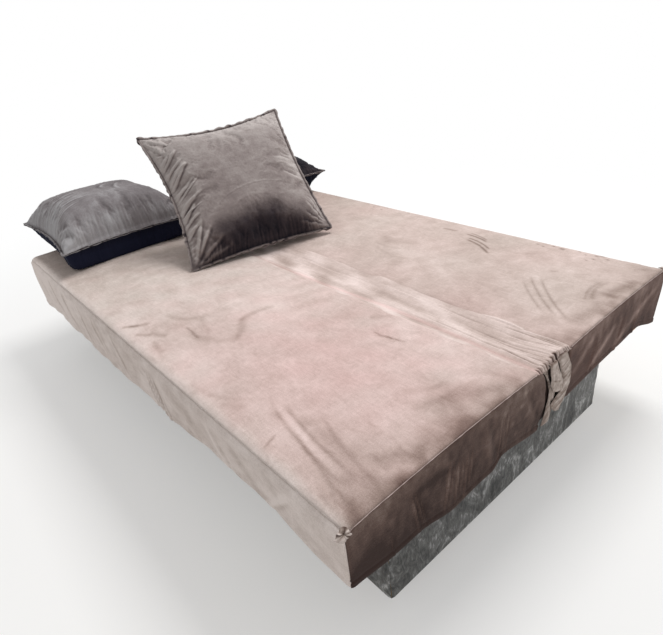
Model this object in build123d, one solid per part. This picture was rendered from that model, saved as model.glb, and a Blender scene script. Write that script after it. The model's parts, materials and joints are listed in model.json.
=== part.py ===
from build123d import *
import math
import os

# A click-clack sofa bed, laid flat under a velvet slipcover, with three scatter cushions.
# Millimetres. X runs along the bed, -Y is the seat's front edge and +Z is up.
# The origin is on the floor under the centre foot, in the middle of the bed.

# The bed laid flat, over its slipcover
bed_length = 1900.0
seat_depth = 580.0
hinge_gap = 140.0
back_depth = 540.0
bed_height = 420.0

# Slipcover
cover_thickness = 3.0
skirt_drop = 185.0
edge_round = 30.0
hinge_round = 18.0
hinge_fullness_share = 0.55
seam_below_round = 4.0
top_crown = 6.0
fold_depth = 4.0
gusset_fold_depth = 4.5
seam_fold_depth = 0.3
fold_pitch = 95.0
gusset_folds = 4
band_thickness = 2.5
band_sag = 9.0
soft_clear = 0.3

# Pads: foam on beech slats on a timber frame
foam_thickness = 118.0
rail_end_margin = 25.0
rail_width = 25.0
rail_height = 52.0
frame_setback = 70.0
slat_width = 53.0
slat_thickness = 8.0
slats_per_pad = 11

# Upholstered base box and its feet
base_front_setback = 130.0
base_depth = 870.0
base_end_setback = 40.0
board_thickness = 18.0
bottom_panel_thickness = 9.0
velvet_thickness = 2.0
foot_height = 60.0
foot_top_radius = 24.0
foot_bottom_radius = 18.0
foot_inset = 85.0
bolt_radius = 4.0
bolt_head_radius = 7.0
bolt_head_height = 5.0
bolt_depth = 32.0
bolt_room_clear = 5.0
hole_clear = 0.3

# Click-clack fittings at both ends of the pads
pivot_below_top = 93.0
hinge_clear = 5.0
rest_clear = 0.3
plate_thickness = 3.0
plate_gap = 0.5
plate_margin = 6.0
plate_reach = 150.0
plate_near = 14.0
strap_root_radius = 17.0
pin_radius = 6.0
pin_fit = 0.05
pin_head_radius = 9.0
pin_head_height = 3.0
hub_radius = 24.0
notch_radius = 3.5
notch_angles = (150.0, 185.0, 220.0)
pawl_pin_radius = 4.0
pawl_pin_back = 34.0
pawl_pin_down = 42.0
pawl_root_radius = 8.0
pawl_nose_radius = 3.0
pawl_nose_clear = 0.6
pawl_nose_angle = 182.0
screw_radius = 3.0
screw_head_radius = 6.0
screw_head_height = 2.0
screw_length = 18.0
screw_near = 40.0
screw_far = 125.0

# Scatter cushions
panel_thickness = 2.0
seam_flange = 8.0
front_pillow_side = 520.0
front_pillow_rise = 108.0
front_pillow_sink = 84.0
front_pillow_from_left = 117.0
front_pillow_from_front = 309.0
front_pillow_pitch = 2.0
rear_pillow_side = 460.0
rear_pillow_rise = 100.0
rear_pillow_sink = 78.0
rear_pillow_from_left = 118.0
rear_pillow_from_front = 1080.0
leaning_cushion_side = 560.0
leaning_cushion_rise = 82.0
leaning_cushion_from_left = 606.0
leaning_cushion_from_front = 664.0
leaning_cushion_yaw = 77.2
leaning_cushion_tilt = 46.6
leaning_cushion_roll = 1.6

# Outlines of a cushion half, from its seam to its crown, as shares of its side and its rise
crown_level_share = (0.0, 0.36, 0.66, 0.89, 1.0)
crown_side_share = (1.0, 0.87, 0.70, 0.45, 0.20)
crown_bow_share = (-0.06, -0.03, 0.004, 0.03, 0.02)
sunk_level_share = (0.0, 0.42, 0.78, 1.0)
sunk_side_share = (1.0, 0.88, 0.76, 0.60)
sunk_bow_share = (-0.06, -0.03, -0.01, 0.01)

# Hems, as places along half a skirt and drops of the whole skirt. Seen from outside, a skirt's
# places run from its right-hand end to its left-hand end.
front_hem_place_share = (-1.0, -0.77, -0.53, -0.22, 0.23, 0.62, 1.0)
front_hem_drop_share = (0.86, 0.70, 0.72, 0.88, 1.00, 1.06, 1.07)
right_hem_place_share = (-1.0, -0.58, -0.44, -0.05, 0.38, 0.64, 1.0)
right_hem_drop_share = (1.00, 0.87, 0.99, 1.03, 0.90, 0.89, 0.86)
plain_hem_place_share = (-1.0, -0.4, 0.3, 1.0)
plain_hem_drop_share = (0.97, 1.00, 0.94, 0.99)

cut_overrun = 5.0

# Levels and places worked out from the sizes above
half_length = bed_length / 2
half_gap = hinge_gap / 2
bed_depth = seat_depth + hinge_gap + back_depth
front_y = -bed_depth / 2
rear_y = bed_depth / 2
pivot_y = front_y + seat_depth + half_gap
pivot_z = bed_height - pivot_below_top
face_slope = (half_gap - hinge_clear) / pivot_below_top
lid_low = bed_height - top_crown - edge_round - seam_below_round
foam_top = bed_height - cover_thickness - soft_clear
foam_low = foam_top - foam_thickness
slat_low = foam_low - soft_clear - slat_thickness
base_top = slat_low - rail_height
skirt_room = cover_thickness + 2 * fold_depth + soft_clear
rail_end = half_length - rail_end_margin
foam_end = rail_end - soft_clear
base_end = half_length - base_end_setback
base_front = front_y + base_front_setback
base_rear = base_front + base_depth
board_low = foot_height + bottom_panel_thickness
arm_low_x = rail_end + plate_thickness + plate_gap
arm_high_x = arm_low_x + plate_thickness


def box(low_x, high_x, low_y, high_y, low_z, high_z):
    """A block between two corners."""
    block = Box(high_x - low_x, high_y - low_y, high_z - low_z)
    return Pos((low_x + high_x) / 2, (low_y + high_y) / 2, (low_z + high_z) / 2) * block


def rod(low_x, high_x, y, z, radius):
    """A round bar along X."""
    middle = Pos((low_x + high_x) / 2, y, z)
    return middle * Rot(0, 90, 0) * Cylinder(radius, high_x - low_x)


def along_x(outline, low_x, high_x):
    """A flat outline, drawn in Y and Z, pulled along X."""
    bar = extrude(Plane.YZ * outline, (high_x - low_x) / 2, both=True)
    return Pos((low_x + high_x) / 2, 0, 0) * bar


def mirrored(piece):
    """The same piece at the bed's other end."""
    return mirror(piece, about=Plane.YZ)


def group(pieces):
    """Separate solids that share one node."""
    return Part() + list(pieces)


# Pad outline: crowned top, soft outer edge and a face that slants up from the pivot
def pad_outline(side, depth, inset, far_inset, low):
    """Outline in Y and Z of the seat (side -1) or the back (side 1), drawn in by an inset."""
    edge_z = bed_height - top_crown - inset
    far = half_gap + depth - far_inset
    lean_inset = inset * math.hypot(1, face_slope)

    def face_at(z):
        return hinge_clear + lean_inset + face_slope * max(z - pivot_z, 0)

    def place(u, z):
        return (pivot_y + side * u, z)

    soft = edge_round - min(inset, edge_round / 2)
    shoulder = soft * (1 - math.sqrt(0.5))
    corner_low = edge_z - hinge_round
    corner_start = (face_at(edge_z) + hinge_round, edge_z)
    corner_end = (face_at(corner_low), corner_low)
    corner_u = face_at(edge_z) * (1 - hinge_fullness_share)
    corner_u += (corner_start[0] + corner_end[0]) / 2 * hinge_fullness_share
    corner_z = edge_z * (1 - hinge_fullness_share)
    corner_z += (corner_start[1] + corner_end[1]) / 2 * hinge_fullness_share
    crown_u = (far - soft + corner_start[0]) / 2
    edges = [
        Line(place(far, low), place(far, edge_z - soft)),
        ThreePointArc(
            place(far, edge_z - soft),
            place(far - shoulder, edge_z - shoulder),
            place(far - soft, edge_z),
        ),
        ThreePointArc(
            place(far - soft, edge_z),
            place(crown_u, bed_height - inset),
            place(*corner_start),
        ),
        ThreePointArc(place(*corner_start), place(corner_u, corner_z), place(*corner_end)),
    ]
    if low < pivot_z:
        edges.append(Line(place(*corner_end), place(face_at(pivot_z), pivot_z)))
        edges.append(Line(place(face_at(pivot_z), pivot_z), place(face_at(low), low)))
    else:
        edges.append(Line(place(*corner_end), place(face_at(low), low)))
    edges.append(Line(place(face_at(low), low), place(far, low)))
    return make_face(edges)


def pad_solid(side, depth, inset, far_inset, low, end):
    """A pad's outline pulled to both ends of the bed."""
    return along_x(pad_outline(side, depth, inset, far_inset, low), -end, end)


def foam_pad(side, depth):
    return pad_solid(side, depth, cover_thickness + soft_clear, skirt_room, foam_low, foam_end)


def cover_top(side, depth):
    """The slipcover's top panel, with its turned-down edges as far as the skirt seam."""
    outside = pad_solid(side, depth, 0, 0, lid_low, half_length)
    inner_end = half_length - cover_thickness
    inside = pad_solid(
        side, depth, cover_thickness, cover_thickness, lid_low - cut_overrun, inner_end
    )
    return outside - inside


# Skirts: cloth that hangs from the seam in shallow folds, drawn in a little at its hem
def fold_outline(length, middle, depth, folds):
    """A wavy strip of cloth seen from above, made of one arc to each half fold."""
    pitch = length / folds
    half_cloth = cover_thickness / 2

    def wave(shift, order):
        arcs = []
        for i in order:
            start = -length / 2 + i * pitch
            bow = depth if i % 2 else -depth
            ends = [(start, shift), (start + pitch, shift)]
            arcs.append(ThreePointArc(ends[0], (start + pitch / 2, shift + bow), ends[1]))
        return arcs

    outer = wave(middle + half_cloth, range(folds))
    inner = wave(middle - half_cloth, range(folds))
    ends = [
        Line((x, middle - half_cloth), (x, middle + half_cloth)) for x in (-length / 2, length / 2)
    ]
    return make_face(outer + inner + ends)


def folded_cloth(length, drop, depth, folds):
    """Cloth that hangs along X from the height zero, with its outer face towards +Y."""
    seam = fold_outline(length, -cover_thickness / 2, seam_fold_depth, folds)
    hem = fold_outline(length, -cover_thickness / 2 - depth, depth, folds)
    return loft([seam, Pos(0, 0, -drop) * hem], ruled=True)


def hem_cutter(length, place_share, drop_share):
    """The space under a hem that rises and falls along the skirt."""
    half = length / 2
    fall = lid_low - bed_height
    points = [
        (half * at, -skirt_drop * drop - fall) for at, drop in zip(place_share, drop_share)
    ]
    floor = -skirt_drop * 2
    outline = make_face(
        [Line(a, b) for a, b in zip(points, points[1:])]
        + [
            Line(points[-1], (half + cut_overrun, points[-1][1])),
            Line((half + cut_overrun, points[-1][1]), (half + cut_overrun, floor)),
            Line((half + cut_overrun, floor), (-half - cut_overrun, floor)),
            Line((-half - cut_overrun, floor), (-half - cut_overrun, points[0][1])),
            Line((-half - cut_overrun, points[0][1]), points[0]),
        ]
    )
    return extrude(Plane.XZ * outline, 2 * skirt_room, both=True)


def skirt(length, place_share, drop_share):
    """A skirt panel, hung along X from the height zero, with its hem cut."""
    deepest = skirt_drop * max(drop_share) - (bed_height - lid_low)
    folds = 2 * round(length / fold_pitch / 2)
    cloth = folded_cloth(length, deepest, fold_depth, folds)
    return cloth - hem_cutter(length, place_share, drop_share)


def long_skirt(y, turn, place_share, drop_share):
    """A skirt along a long side of the bed."""
    return Pos(0, y, lid_low) * Rot(0, 0, turn) * skirt(bed_length, place_share, drop_share)


def end_skirt(side, depth, place_share, drop_share):
    """The seat's or the back's skirt at the bed's right end."""
    length = depth - skirt_room
    y = pivot_y + side * (half_gap + length / 2)
    return Pos(half_length, y, lid_low) * Rot(0, 0, -90) * skirt(length, place_share, drop_share)


# Cloth over the gap between the pads
def grown_pad(side, depth):
    """A pad with a thin skin of free space round it."""
    return pad_solid(side, depth, -soft_clear, 0, base_top - skirt_drop, half_length + cut_overrun)


def hinge_band():
    """The strip of cloth that spans the gap and sinks a little between the pads."""
    level = bed_height - top_crown
    reach = half_gap + hinge_round
    top = [(pivot_y - reach, level), (pivot_y, level - band_sag), (pivot_y + reach, level)]
    low = [(y, z - band_thickness) for y, z in top]
    outline = make_face(
        [
            ThreePointArc(*top),
            Line(top[2], low[2]),
            ThreePointArc(*low),
            Line(low[0], top[0]),
        ]
    )
    band = along_x(outline, -half_length, half_length)
    return band - grown_pad(-1, seat_depth) - grown_pad(1, back_depth)


def gusset():
    """The folds of cloth that close the gap at the bed's right end."""
    length = hinge_gap - 2 * soft_clear
    start = bed_height - top_crown - band_sag - band_thickness - soft_clear
    drop = start - (bed_height - skirt_drop)
    cloth = folded_cloth(length, drop, gusset_fold_depth, gusset_folds)
    hung = Pos(half_length, pivot_y, start) * Rot(0, 0, -90) * cloth
    lids = [
        pad_solid(side, depth, -soft_clear, 0, lid_low - soft_clear, half_length + cut_overrun)
        for side, depth in ((-1, seat_depth), (1, back_depth))
    ]
    return hung - lids[0] - lids[1]


# Pad frames
def frame_span(side, depth):
    """The near and far faces of a pad's frame, as distances from the pivot."""
    return hinge_clear, half_gap + depth - frame_setback


def frame_y(side, near, far):
    """Two distances from the pivot as a low and a high Y."""
    return sorted((pivot_y + side * near, pivot_y + side * far))


def cross_rail(side, near, low):
    """A rail along X at one distance from the pivot."""
    y = frame_y(side, near, near + rail_width)
    return box(-rail_end, rail_end, *y, low, slat_low)


def end_rail(side, depth, low):
    """The right end rail, between the two long rails, without its screws' holes."""
    near, far = frame_span(side, depth)
    y = frame_y(side, near + rail_width, far - rail_width)
    return box(rail_end - rail_width, rail_end, *y, low, slat_low)


def slats(side, depth):
    """Beech slats from the near rail to the far one, under the foam."""
    near, far = frame_span(side, depth)
    y = frame_y(side, near, far)
    reach = rail_end - rail_width - slat_width
    step = 2 * reach / (slats_per_pad - 1)
    places = [-reach + i * step for i in range(slats_per_pad)]
    return group(
        box(x - slat_width / 2, x + slat_width / 2, *y, slat_low, slat_low + slat_thickness)
        for x in places
    )


# Click-clack fittings, drawn at the right end
def strap(start, start_radius, end, end_radius, low_x, high_x):
    """A flat bar with round ends between two points in Y and Z."""
    circles = [
        Pos(*start, 0) * Circle(start_radius),
        Pos(*end, 0) * Circle(end_radius),
    ]
    return along_x(make_hull(circles[0].edges() + circles[1].edges()), low_x, high_x)


def plate_rows():
    """The low and high edge of a fitting's foot on its rail."""
    return base_top + plate_margin, slat_low - plate_margin


def fitting_foot(side, low_x, high_x):
    """The part of a fitting that lies on its pad's end rail."""
    y = frame_y(side, plate_near, plate_reach)
    return box(low_x, high_x, *y, *plate_rows())


def strap_root(side):
    """The middle of the round root that carries a fitting's ear."""
    low, high = plate_rows()
    return (pivot_y + side * (plate_near + strap_root_radius), (low + high) / 2)


def screw_places(side):
    """The two screws of a fitting."""
    low, high = plate_rows()
    middle = (low + high) / 2
    return [(pivot_y + side * screw_near, middle), (pivot_y + side * screw_far, middle)]


def screw(place, face_x):
    """A screw whose head lies on a face and whose shank goes into the rail."""
    head = rod(face_x, face_x + screw_head_height, *place, screw_head_radius)
    return head + rod(rail_end - screw_length, face_x, *place, screw_radius)


def screw_hole(place):
    """The hole that a screw passes through."""
    return rod(
        rail_end - screw_length - hole_clear,
        arm_high_x + hole_clear,
        *place,
        screw_radius + hole_clear,
    )


def pawl_pin_place():
    return (pivot_y - pawl_pin_back, pivot_z - pawl_pin_down)


def hinge_plate():
    """The fixed plate on the seat's frame, with the pivot's ear and the pawl's hole."""
    high_x = rail_end + plate_thickness
    ear = strap(
        strap_root(-1), strap_root_radius, (pivot_y, pivot_z), strap_root_radius, rail_end, high_x
    )
    plate = fitting_foot(-1, rail_end, high_x) + ear
    plate -= rod(rail_end, high_x, pivot_y, pivot_z, pin_radius + pin_fit)
    plate -= rod(rail_end, high_x, *pawl_pin_place(), pawl_pin_radius + pin_fit)
    for place in screw_places(-1):
        plate -= screw_hole(place)
    return plate


def back_arm():
    """The arm on the back's frame, with its notched hub on the pivot."""
    ear = strap(
        strap_root(1), strap_root_radius, (pivot_y, pivot_z), strap_root_radius, arm_low_x, arm_high_x
    )
    hub = rod(arm_low_x, arm_high_x, pivot_y, pivot_z, hub_radius)
    for angle in notch_angles:
        turn = math.radians(angle)
        notch_y = pivot_y + hub_radius * math.cos(turn)
        notch_z = pivot_z + hub_radius * math.sin(turn)
        hub -= rod(arm_low_x, arm_high_x, notch_y, notch_z, notch_radius)
    arm = fitting_foot(1, rail_end, arm_high_x) + ear + hub
    arm -= rod(arm_low_x, arm_high_x, pivot_y, pivot_z, pin_radius + pin_fit)
    for place in screw_places(1):
        arm -= screw_hole(place)
    return arm


def headed_pin(place, radius, head_radius):
    """A pin through the fixed plate and the piece that turns on it, with its head outside."""
    head_x = arm_high_x + plate_gap
    head = rod(head_x, head_x + pin_head_height, *place, head_radius)
    return rod(rail_end, head_x, *place, radius) + head


def pawl():
    """The click lever, with its nose just clear of the hub."""
    turn = math.radians(pawl_nose_angle)
    reach = hub_radius + pawl_nose_clear + pawl_nose_radius
    nose = (pivot_y + reach * math.cos(turn), pivot_z + reach * math.sin(turn))
    lever = strap(
        pawl_pin_place(), pawl_root_radius, nose, pawl_nose_radius, arm_low_x, arm_high_x
    )
    return lever - rod(arm_low_x, arm_high_x, *pawl_pin_place(), pawl_pin_radius + pin_fit)


# Base box
def base_board(low_x, high_x, low_y, high_y):
    """An upright board that stands on the bottom panel."""
    return box(low_x, high_x, low_y, high_y, board_low, base_top)


def base_velvet(low_x, high_x, low_y, high_y):
    """A panel of crushed velvet over a board and the edge of the bottom panel."""
    return box(low_x, high_x, low_y, high_y, foot_height, base_top)


def foot_places():
    """The feet's names and places: four corners, and one under the middle."""
    x = base_end - foot_inset
    near = base_front + foot_inset
    far = base_rear - foot_inset
    return {
        "foot_front_left": (-x, near),
        "foot_front_right": (x, near),
        "foot_rear_left": (-x, far),
        "foot_rear_right": (x, far),
        "foot_centre": (0, 0),
    }


def foot_bolt(x, y):
    """A bolt from inside the box into a foot."""
    shank_low = board_low - bolt_depth
    shank = Pos(x, y, (shank_low + board_low) / 2) * Cylinder(bolt_radius, board_low - shank_low)
    head = Pos(x, y, board_low + bolt_head_height / 2) * Cylinder(bolt_head_radius, bolt_head_height)
    return shank + head


def foot_hole(x, y):
    """The hole for a foot's bolt."""
    low = board_low - bolt_depth - hole_clear
    high = board_low + hole_clear
    return Pos(x, y, (low + high) / 2) * Cylinder(bolt_radius + hole_clear, high - low)


def foot(x, y):
    """A tapered foot with a hole for its bolt."""
    leg = Pos(x, y, foot_height / 2) * Cone(foot_bottom_radius, foot_top_radius, foot_height)
    return leg - foot_hole(x, y)


# Cushions: a crowned cover of two panels, sewn at a flange whose sides are drawn in, and a filling
def cushion_outline(side, bow):
    """Four arcs between a square's corners, which bow out or are drawn in."""
    half = side / 2
    reach = half + bow
    return make_face(
        [
            ThreePointArc((-half, -half), (0, -reach), (half, -half)),
            ThreePointArc((half, -half), (reach, 0), (half, half)),
            ThreePointArc((half, half), (0, reach), (-half, half)),
            ThreePointArc((-half, half), (-reach, 0), (-half, -half)),
        ]
    )


def cushion_half(side, rise, level_share, side_share, bow_share):
    """Half a cushion, from its seam at the height zero up to its crown."""
    sections = [
        Pos(0, 0, rise * level) * cushion_outline(side * wide, side * bow)
        for level, wide, bow in zip(level_share, side_share, bow_share)
    ]
    return loft(sections)


def crowned(side, rise):
    return cushion_half(side, rise, crown_level_share, crown_side_share, crown_bow_share)


def sunk(side, rise):
    return cushion_half(side, rise, sunk_level_share, sunk_side_share, sunk_bow_share)


def cushion(name, side, upper, lower, lower_form, place):
    """A cushion's two panels and its filling, as named pieces."""
    inner = side - 2 * seam_flange
    fill = inner - 2 * soft_clear
    over = upper - panel_thickness
    under = lower - panel_thickness
    top = crowned(side, upper) - crowned(inner, over)
    underside = lower_form(side, lower) - lower_form(inner, under)
    filling = crowned(fill, over - soft_clear) + flipped(lower_form(fill, under - soft_clear))
    return {
        name + "_top": place * top,
        name + "_underside": place * flipped(underside),
        name + "_filling": place * filling,
    }


def flipped(piece):
    """The piece turned over about its seam."""
    return Rot(180, 0, 0) * piece


def lowest(pieces):
    """The lowest level that a set of pieces reaches."""
    return min(piece.bounding_box().min.Z for piece in pieces.values())


def set_down(pieces, level):
    """The same pieces, lowered or raised as one until they rest at a level."""
    drop = Pos(0, 0, level - lowest(pieces))
    return {name: drop * piece for name, piece in pieces.items()}


def on_bed(from_left, from_front):
    """A place measured from the bed's left end and its front edge."""
    return Pos(from_left - half_length, front_y + from_front, 0)


def lying_pillow(name, side, upper, lower, from_left, from_front, pitch):
    """A pillow that lies on the cover, its underside sunk in, its left end a little higher."""
    place = on_bed(from_left, from_front) * Rot(0, pitch, 0)
    pieces = cushion(name, side, upper, lower, sunk, place)
    return set_down(pieces, bed_height + soft_clear)


def leaning_cushion():
    """The large cushion, leaning back across the gap with its crown towards the right end."""
    place = on_bed(leaning_cushion_from_left, leaning_cushion_from_front)
    place = place * Rot(0, 0, leaning_cushion_yaw) * Rot(0, -leaning_cushion_roll, 0)
    place = place * Rot(leaning_cushion_tilt, 0, 0)
    pieces = cushion(
        "leaning_cushion",
        leaning_cushion_side,
        leaning_cushion_rise,
        leaning_cushion_rise,
        crowned,
        place,
    )
    return set_down(pieces, bed_height + soft_clear)


def seat_nodes():
    near, far = frame_span(-1, seat_depth)
    right_rail = end_rail(-1, seat_depth, base_top)
    for place in screw_places(-1):
        right_rail -= screw_hole(place)
    right_skirt = end_skirt(-1, seat_depth, right_hem_place_share, right_hem_drop_share)
    return {
        "seat_front_rail": cross_rail(-1, far - rail_width, base_top),
        "seat_rear_rail": cross_rail(-1, near, base_top),
        "seat_right_rail": right_rail,
        "seat_left_rail": mirrored(right_rail),
        "seat_slats": slats(-1, seat_depth),
        "seat_foam": foam_pad(-1, seat_depth),
        "seat_cover_top": cover_top(-1, seat_depth),
        "seat_cover_front": long_skirt(front_y, 180, front_hem_place_share, front_hem_drop_share),
        "seat_cover_right": right_skirt,
        "seat_cover_left": mirrored(right_skirt),
    }


def back_nodes():
    near, far = frame_span(1, back_depth)
    low = base_top + rest_clear
    right_rail = end_rail(1, back_depth, low)
    for place in screw_places(1):
        right_rail -= screw_hole(place)
    right_skirt = end_skirt(1, back_depth, plain_hem_place_share, plain_hem_drop_share)
    return {
        "back_front_rail": cross_rail(1, near, low),
        "back_rear_rail": cross_rail(1, far - rail_width, low),
        "back_right_rail": right_rail,
        "back_left_rail": mirrored(right_rail),
        "back_slats": slats(1, back_depth),
        "back_foam": foam_pad(1, back_depth),
        "back_cover_top": cover_top(1, back_depth),
        "back_cover_rear": long_skirt(rear_y, 0, plain_hem_place_share, plain_hem_drop_share),
        "back_cover_right": right_skirt,
        "back_cover_left": mirrored(right_skirt),
    }


def cloth_over_gap():
    right_gusset = gusset()
    return {
        "hinge_band": hinge_band(),
        "gusset_right": right_gusset,
        "gusset_left": mirrored(right_gusset),
    }


def fitting_nodes():
    plate = hinge_plate()
    arm = back_arm()
    lever = pawl()
    pivot_pin = headed_pin((pivot_y, pivot_z), pin_radius, pin_head_radius)
    pawl_pin = headed_pin(pawl_pin_place(), pawl_pin_radius, pawl_root_radius)
    seat_screws = [screw(place, rail_end + plate_thickness) for place in screw_places(-1)]
    back_screws = [screw(place, arm_high_x) for place in screw_places(1)]
    return {
        "hinge_plate_right": plate,
        "hinge_plate_left": mirrored(plate),
        "back_arm_right": arm,
        "back_arm_left": mirrored(arm),
        "pivot_pins": group([pivot_pin, mirrored(pivot_pin)]),
        "pawl_pins": group([pawl_pin, mirrored(pawl_pin)]),
        "pawl_right": lever,
        "pawl_left": mirrored(lever),
        "hinge_plate_screws": group(seat_screws + [mirrored(s) for s in seat_screws]),
        "back_arm_screws": group(back_screws + [mirrored(s) for s in back_screws]),
    }


def base_nodes():
    skin = velvet_thickness
    end = base_end - skin
    front = base_front + skin
    rear = base_rear - skin
    inner_front = front + board_thickness
    inner_rear = rear - board_thickness
    right_board = base_board(end - board_thickness, end, inner_front, inner_rear)
    right_velvet = base_velvet(end, base_end, front, rear)
    panel = box(-end, end, front, rear, foot_height, board_low)
    for place in foot_places().values():
        panel -= foot_hole(*place)
    half_board = board_thickness / 2
    centre_board = base_board(-half_board, half_board, inner_front, inner_rear)
    bolt_room = Pos(0, 0, board_low) * Cylinder(
        bolt_head_radius + bolt_room_clear, 2 * (bolt_head_height + bolt_room_clear)
    )
    return {
        "base_front_board": base_board(-end, end, front, inner_front),
        "base_rear_board": base_board(-end, end, inner_rear, rear),
        "base_right_board": right_board,
        "base_left_board": mirrored(right_board),
        "base_centre_board": centre_board - bolt_room,
        "base_bottom_panel": panel,
        "base_front_velvet": base_velvet(-base_end, base_end, base_front, front),
        "base_rear_velvet": base_velvet(-base_end, base_end, rear, base_rear),
        "base_right_velvet": right_velvet,
        "base_left_velvet": mirrored(right_velvet),
    }


def foot_nodes():
    places = foot_places()
    feet = {name: foot(*place) for name, place in places.items()}
    feet["foot_bolts"] = group(foot_bolt(*place) for place in places.values())
    return feet


def cushion_nodes():
    front = lying_pillow(
        "front_pillow",
        front_pillow_side,
        front_pillow_rise,
        front_pillow_sink,
        front_pillow_from_left,
        front_pillow_from_front,
        front_pillow_pitch,
    )
    rear = lying_pillow(
        "rear_pillow",
        rear_pillow_side,
        rear_pillow_rise,
        rear_pillow_sink,
        rear_pillow_from_left,
        rear_pillow_from_front,
        0,
    )
    return front | rear | leaning_cushion()


def main():
    nodes = (
        base_nodes()
        | foot_nodes()
        | seat_nodes()
        | back_nodes()
        | fitting_nodes()
        | cloth_over_gap()
        | cushion_nodes()
    )
    os.makedirs("parts", exist_ok=True)
    for name, solid in nodes.items():
        export_step(solid, f"parts/{name}.step")
    print(len(nodes), "nodes written")
    return nodes


main()
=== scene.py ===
# %% [markdown]
# # A velvet sofa bed, dressed piece by piece
#
# The object is an armless sofa bed laid flat: two padded halves that meet at a hinge, a velvet
# slipcover over both, a base box in crushed velvet, and three scatter cushions.
# Its frame, slats, fittings and feet come from CAD at their true size and place.
# The cloth could be left as the CAD's plain shells, but velvet is all folds, seams and brushed
# pile, so every soft piece is made again here and hung on the CAD body that carries it.

# %% Load the frame
import json
import math

import bpy
import numpy as np
from mathutils import Matrix, Vector

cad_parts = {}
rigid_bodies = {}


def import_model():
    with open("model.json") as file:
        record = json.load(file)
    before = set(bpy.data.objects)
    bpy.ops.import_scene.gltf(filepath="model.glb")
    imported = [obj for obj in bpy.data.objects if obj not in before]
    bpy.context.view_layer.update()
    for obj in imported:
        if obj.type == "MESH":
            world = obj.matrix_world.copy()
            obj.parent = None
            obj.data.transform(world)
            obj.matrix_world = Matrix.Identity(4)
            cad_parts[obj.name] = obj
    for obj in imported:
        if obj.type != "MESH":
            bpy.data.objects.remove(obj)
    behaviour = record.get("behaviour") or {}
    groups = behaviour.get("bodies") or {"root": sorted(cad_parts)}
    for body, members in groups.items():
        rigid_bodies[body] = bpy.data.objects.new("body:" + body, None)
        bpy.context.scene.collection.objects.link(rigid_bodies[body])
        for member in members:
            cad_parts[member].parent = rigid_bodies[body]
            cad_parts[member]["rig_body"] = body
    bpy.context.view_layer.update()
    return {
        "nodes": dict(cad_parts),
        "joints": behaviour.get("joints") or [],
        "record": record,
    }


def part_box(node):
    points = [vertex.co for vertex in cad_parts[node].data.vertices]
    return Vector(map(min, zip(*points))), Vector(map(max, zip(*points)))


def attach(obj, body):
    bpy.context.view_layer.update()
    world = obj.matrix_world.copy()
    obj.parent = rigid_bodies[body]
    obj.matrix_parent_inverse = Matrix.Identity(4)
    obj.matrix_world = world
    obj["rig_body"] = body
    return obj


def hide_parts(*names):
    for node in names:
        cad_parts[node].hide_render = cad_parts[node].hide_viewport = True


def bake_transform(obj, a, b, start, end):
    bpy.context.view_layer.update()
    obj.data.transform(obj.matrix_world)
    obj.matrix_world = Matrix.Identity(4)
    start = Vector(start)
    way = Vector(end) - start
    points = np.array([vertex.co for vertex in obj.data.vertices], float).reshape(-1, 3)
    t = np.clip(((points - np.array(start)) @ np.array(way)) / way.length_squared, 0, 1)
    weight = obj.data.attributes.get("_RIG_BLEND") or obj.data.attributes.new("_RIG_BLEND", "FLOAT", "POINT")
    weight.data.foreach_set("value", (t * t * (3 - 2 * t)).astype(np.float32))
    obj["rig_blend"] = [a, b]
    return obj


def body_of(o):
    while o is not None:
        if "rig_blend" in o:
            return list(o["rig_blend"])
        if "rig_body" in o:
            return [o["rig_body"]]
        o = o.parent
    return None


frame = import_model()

# %% [markdown]
# ## The bed's own sizes
#
# The cloth has to sit where the CAD says, so its levels and edges are read from the nodes.
# Typing them again would work once, and go wrong as soon as the bed changes.
# Only the sizes of soft shapes, such as the roundness of an edge, are chosen here.

# %% Read the bed's levels and edges
seat_low, seat_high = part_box("seat_cover_top")
_, back_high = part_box("back_cover_top")
gap_low, gap_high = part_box("gusset_right")
hinge = next(joint for joint in frame["joints"] if joint["name"] == "back_tilt")
hinge_y, hinge_z = hinge["pos_m"][1:]
bed_end = seat_high.x
top_level = seat_high.z
lid_level = seat_low.z
gap_half = (gap_high.y - gap_low.y) / 2
seat_depth = hinge_y - gap_half - seat_low.y
back_depth = back_high.y - hinge_y - gap_half
halves = {
    # The side of the hinge: the half's name, its body and its depth
    -1: ("seat", "base", seat_depth),
    1: ("back", "back", back_depth),
}

crown = 0.006
edge_level = top_level - crown
edge_round = 0.030
end_round = 0.010
hinge_round = 0.018
hinge_clear = 0.005
corner_round = 0.014
cloth_thickness = 0.0016
print(f"seat {seat_depth:.3f} deep, back {back_depth:.3f} deep, gap {2 * gap_half:.3f} wide")

# %% [markdown]
# ## Cloth as a grid
#
# A panel of cloth is a rectangle that has been bent, so a grid of quads suits it: its rows and
# columns run along the threads, and folds stay clean.
# Sculpting a box would also do, but a grid made from numbers can be measured, and its UV map is
# simply the flat cut in metres, so weave and pile keep their true scale.
# `cloth` takes the grid's points; a solidify modifier then gives the panel a thickness.

# %% A helper that turns a grid of points into a piece of cloth
def row_lengths(points):
    """How long a grid's middle row and middle column are."""
    rows, columns = points.shape[:2]
    across = np.linalg.norm(np.diff(points[rows // 2], axis=0), axis=1).sum()
    down = np.linalg.norm(np.diff(points[:, columns // 2], axis=0), axis=1).sum()
    return across, down


def grid_faces(rows, columns, turned=False):
    """The quads of a grid, counted row by row."""
    index = np.arange(rows * columns).reshape(rows, columns)
    quads = np.stack([index[:-1, :-1], index[:-1, 1:], index[1:, 1:], index[1:, :-1]], axis=-1)
    quads = quads.reshape(-1, 4)
    return quads[:, ::-1] if turned else quads


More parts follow.
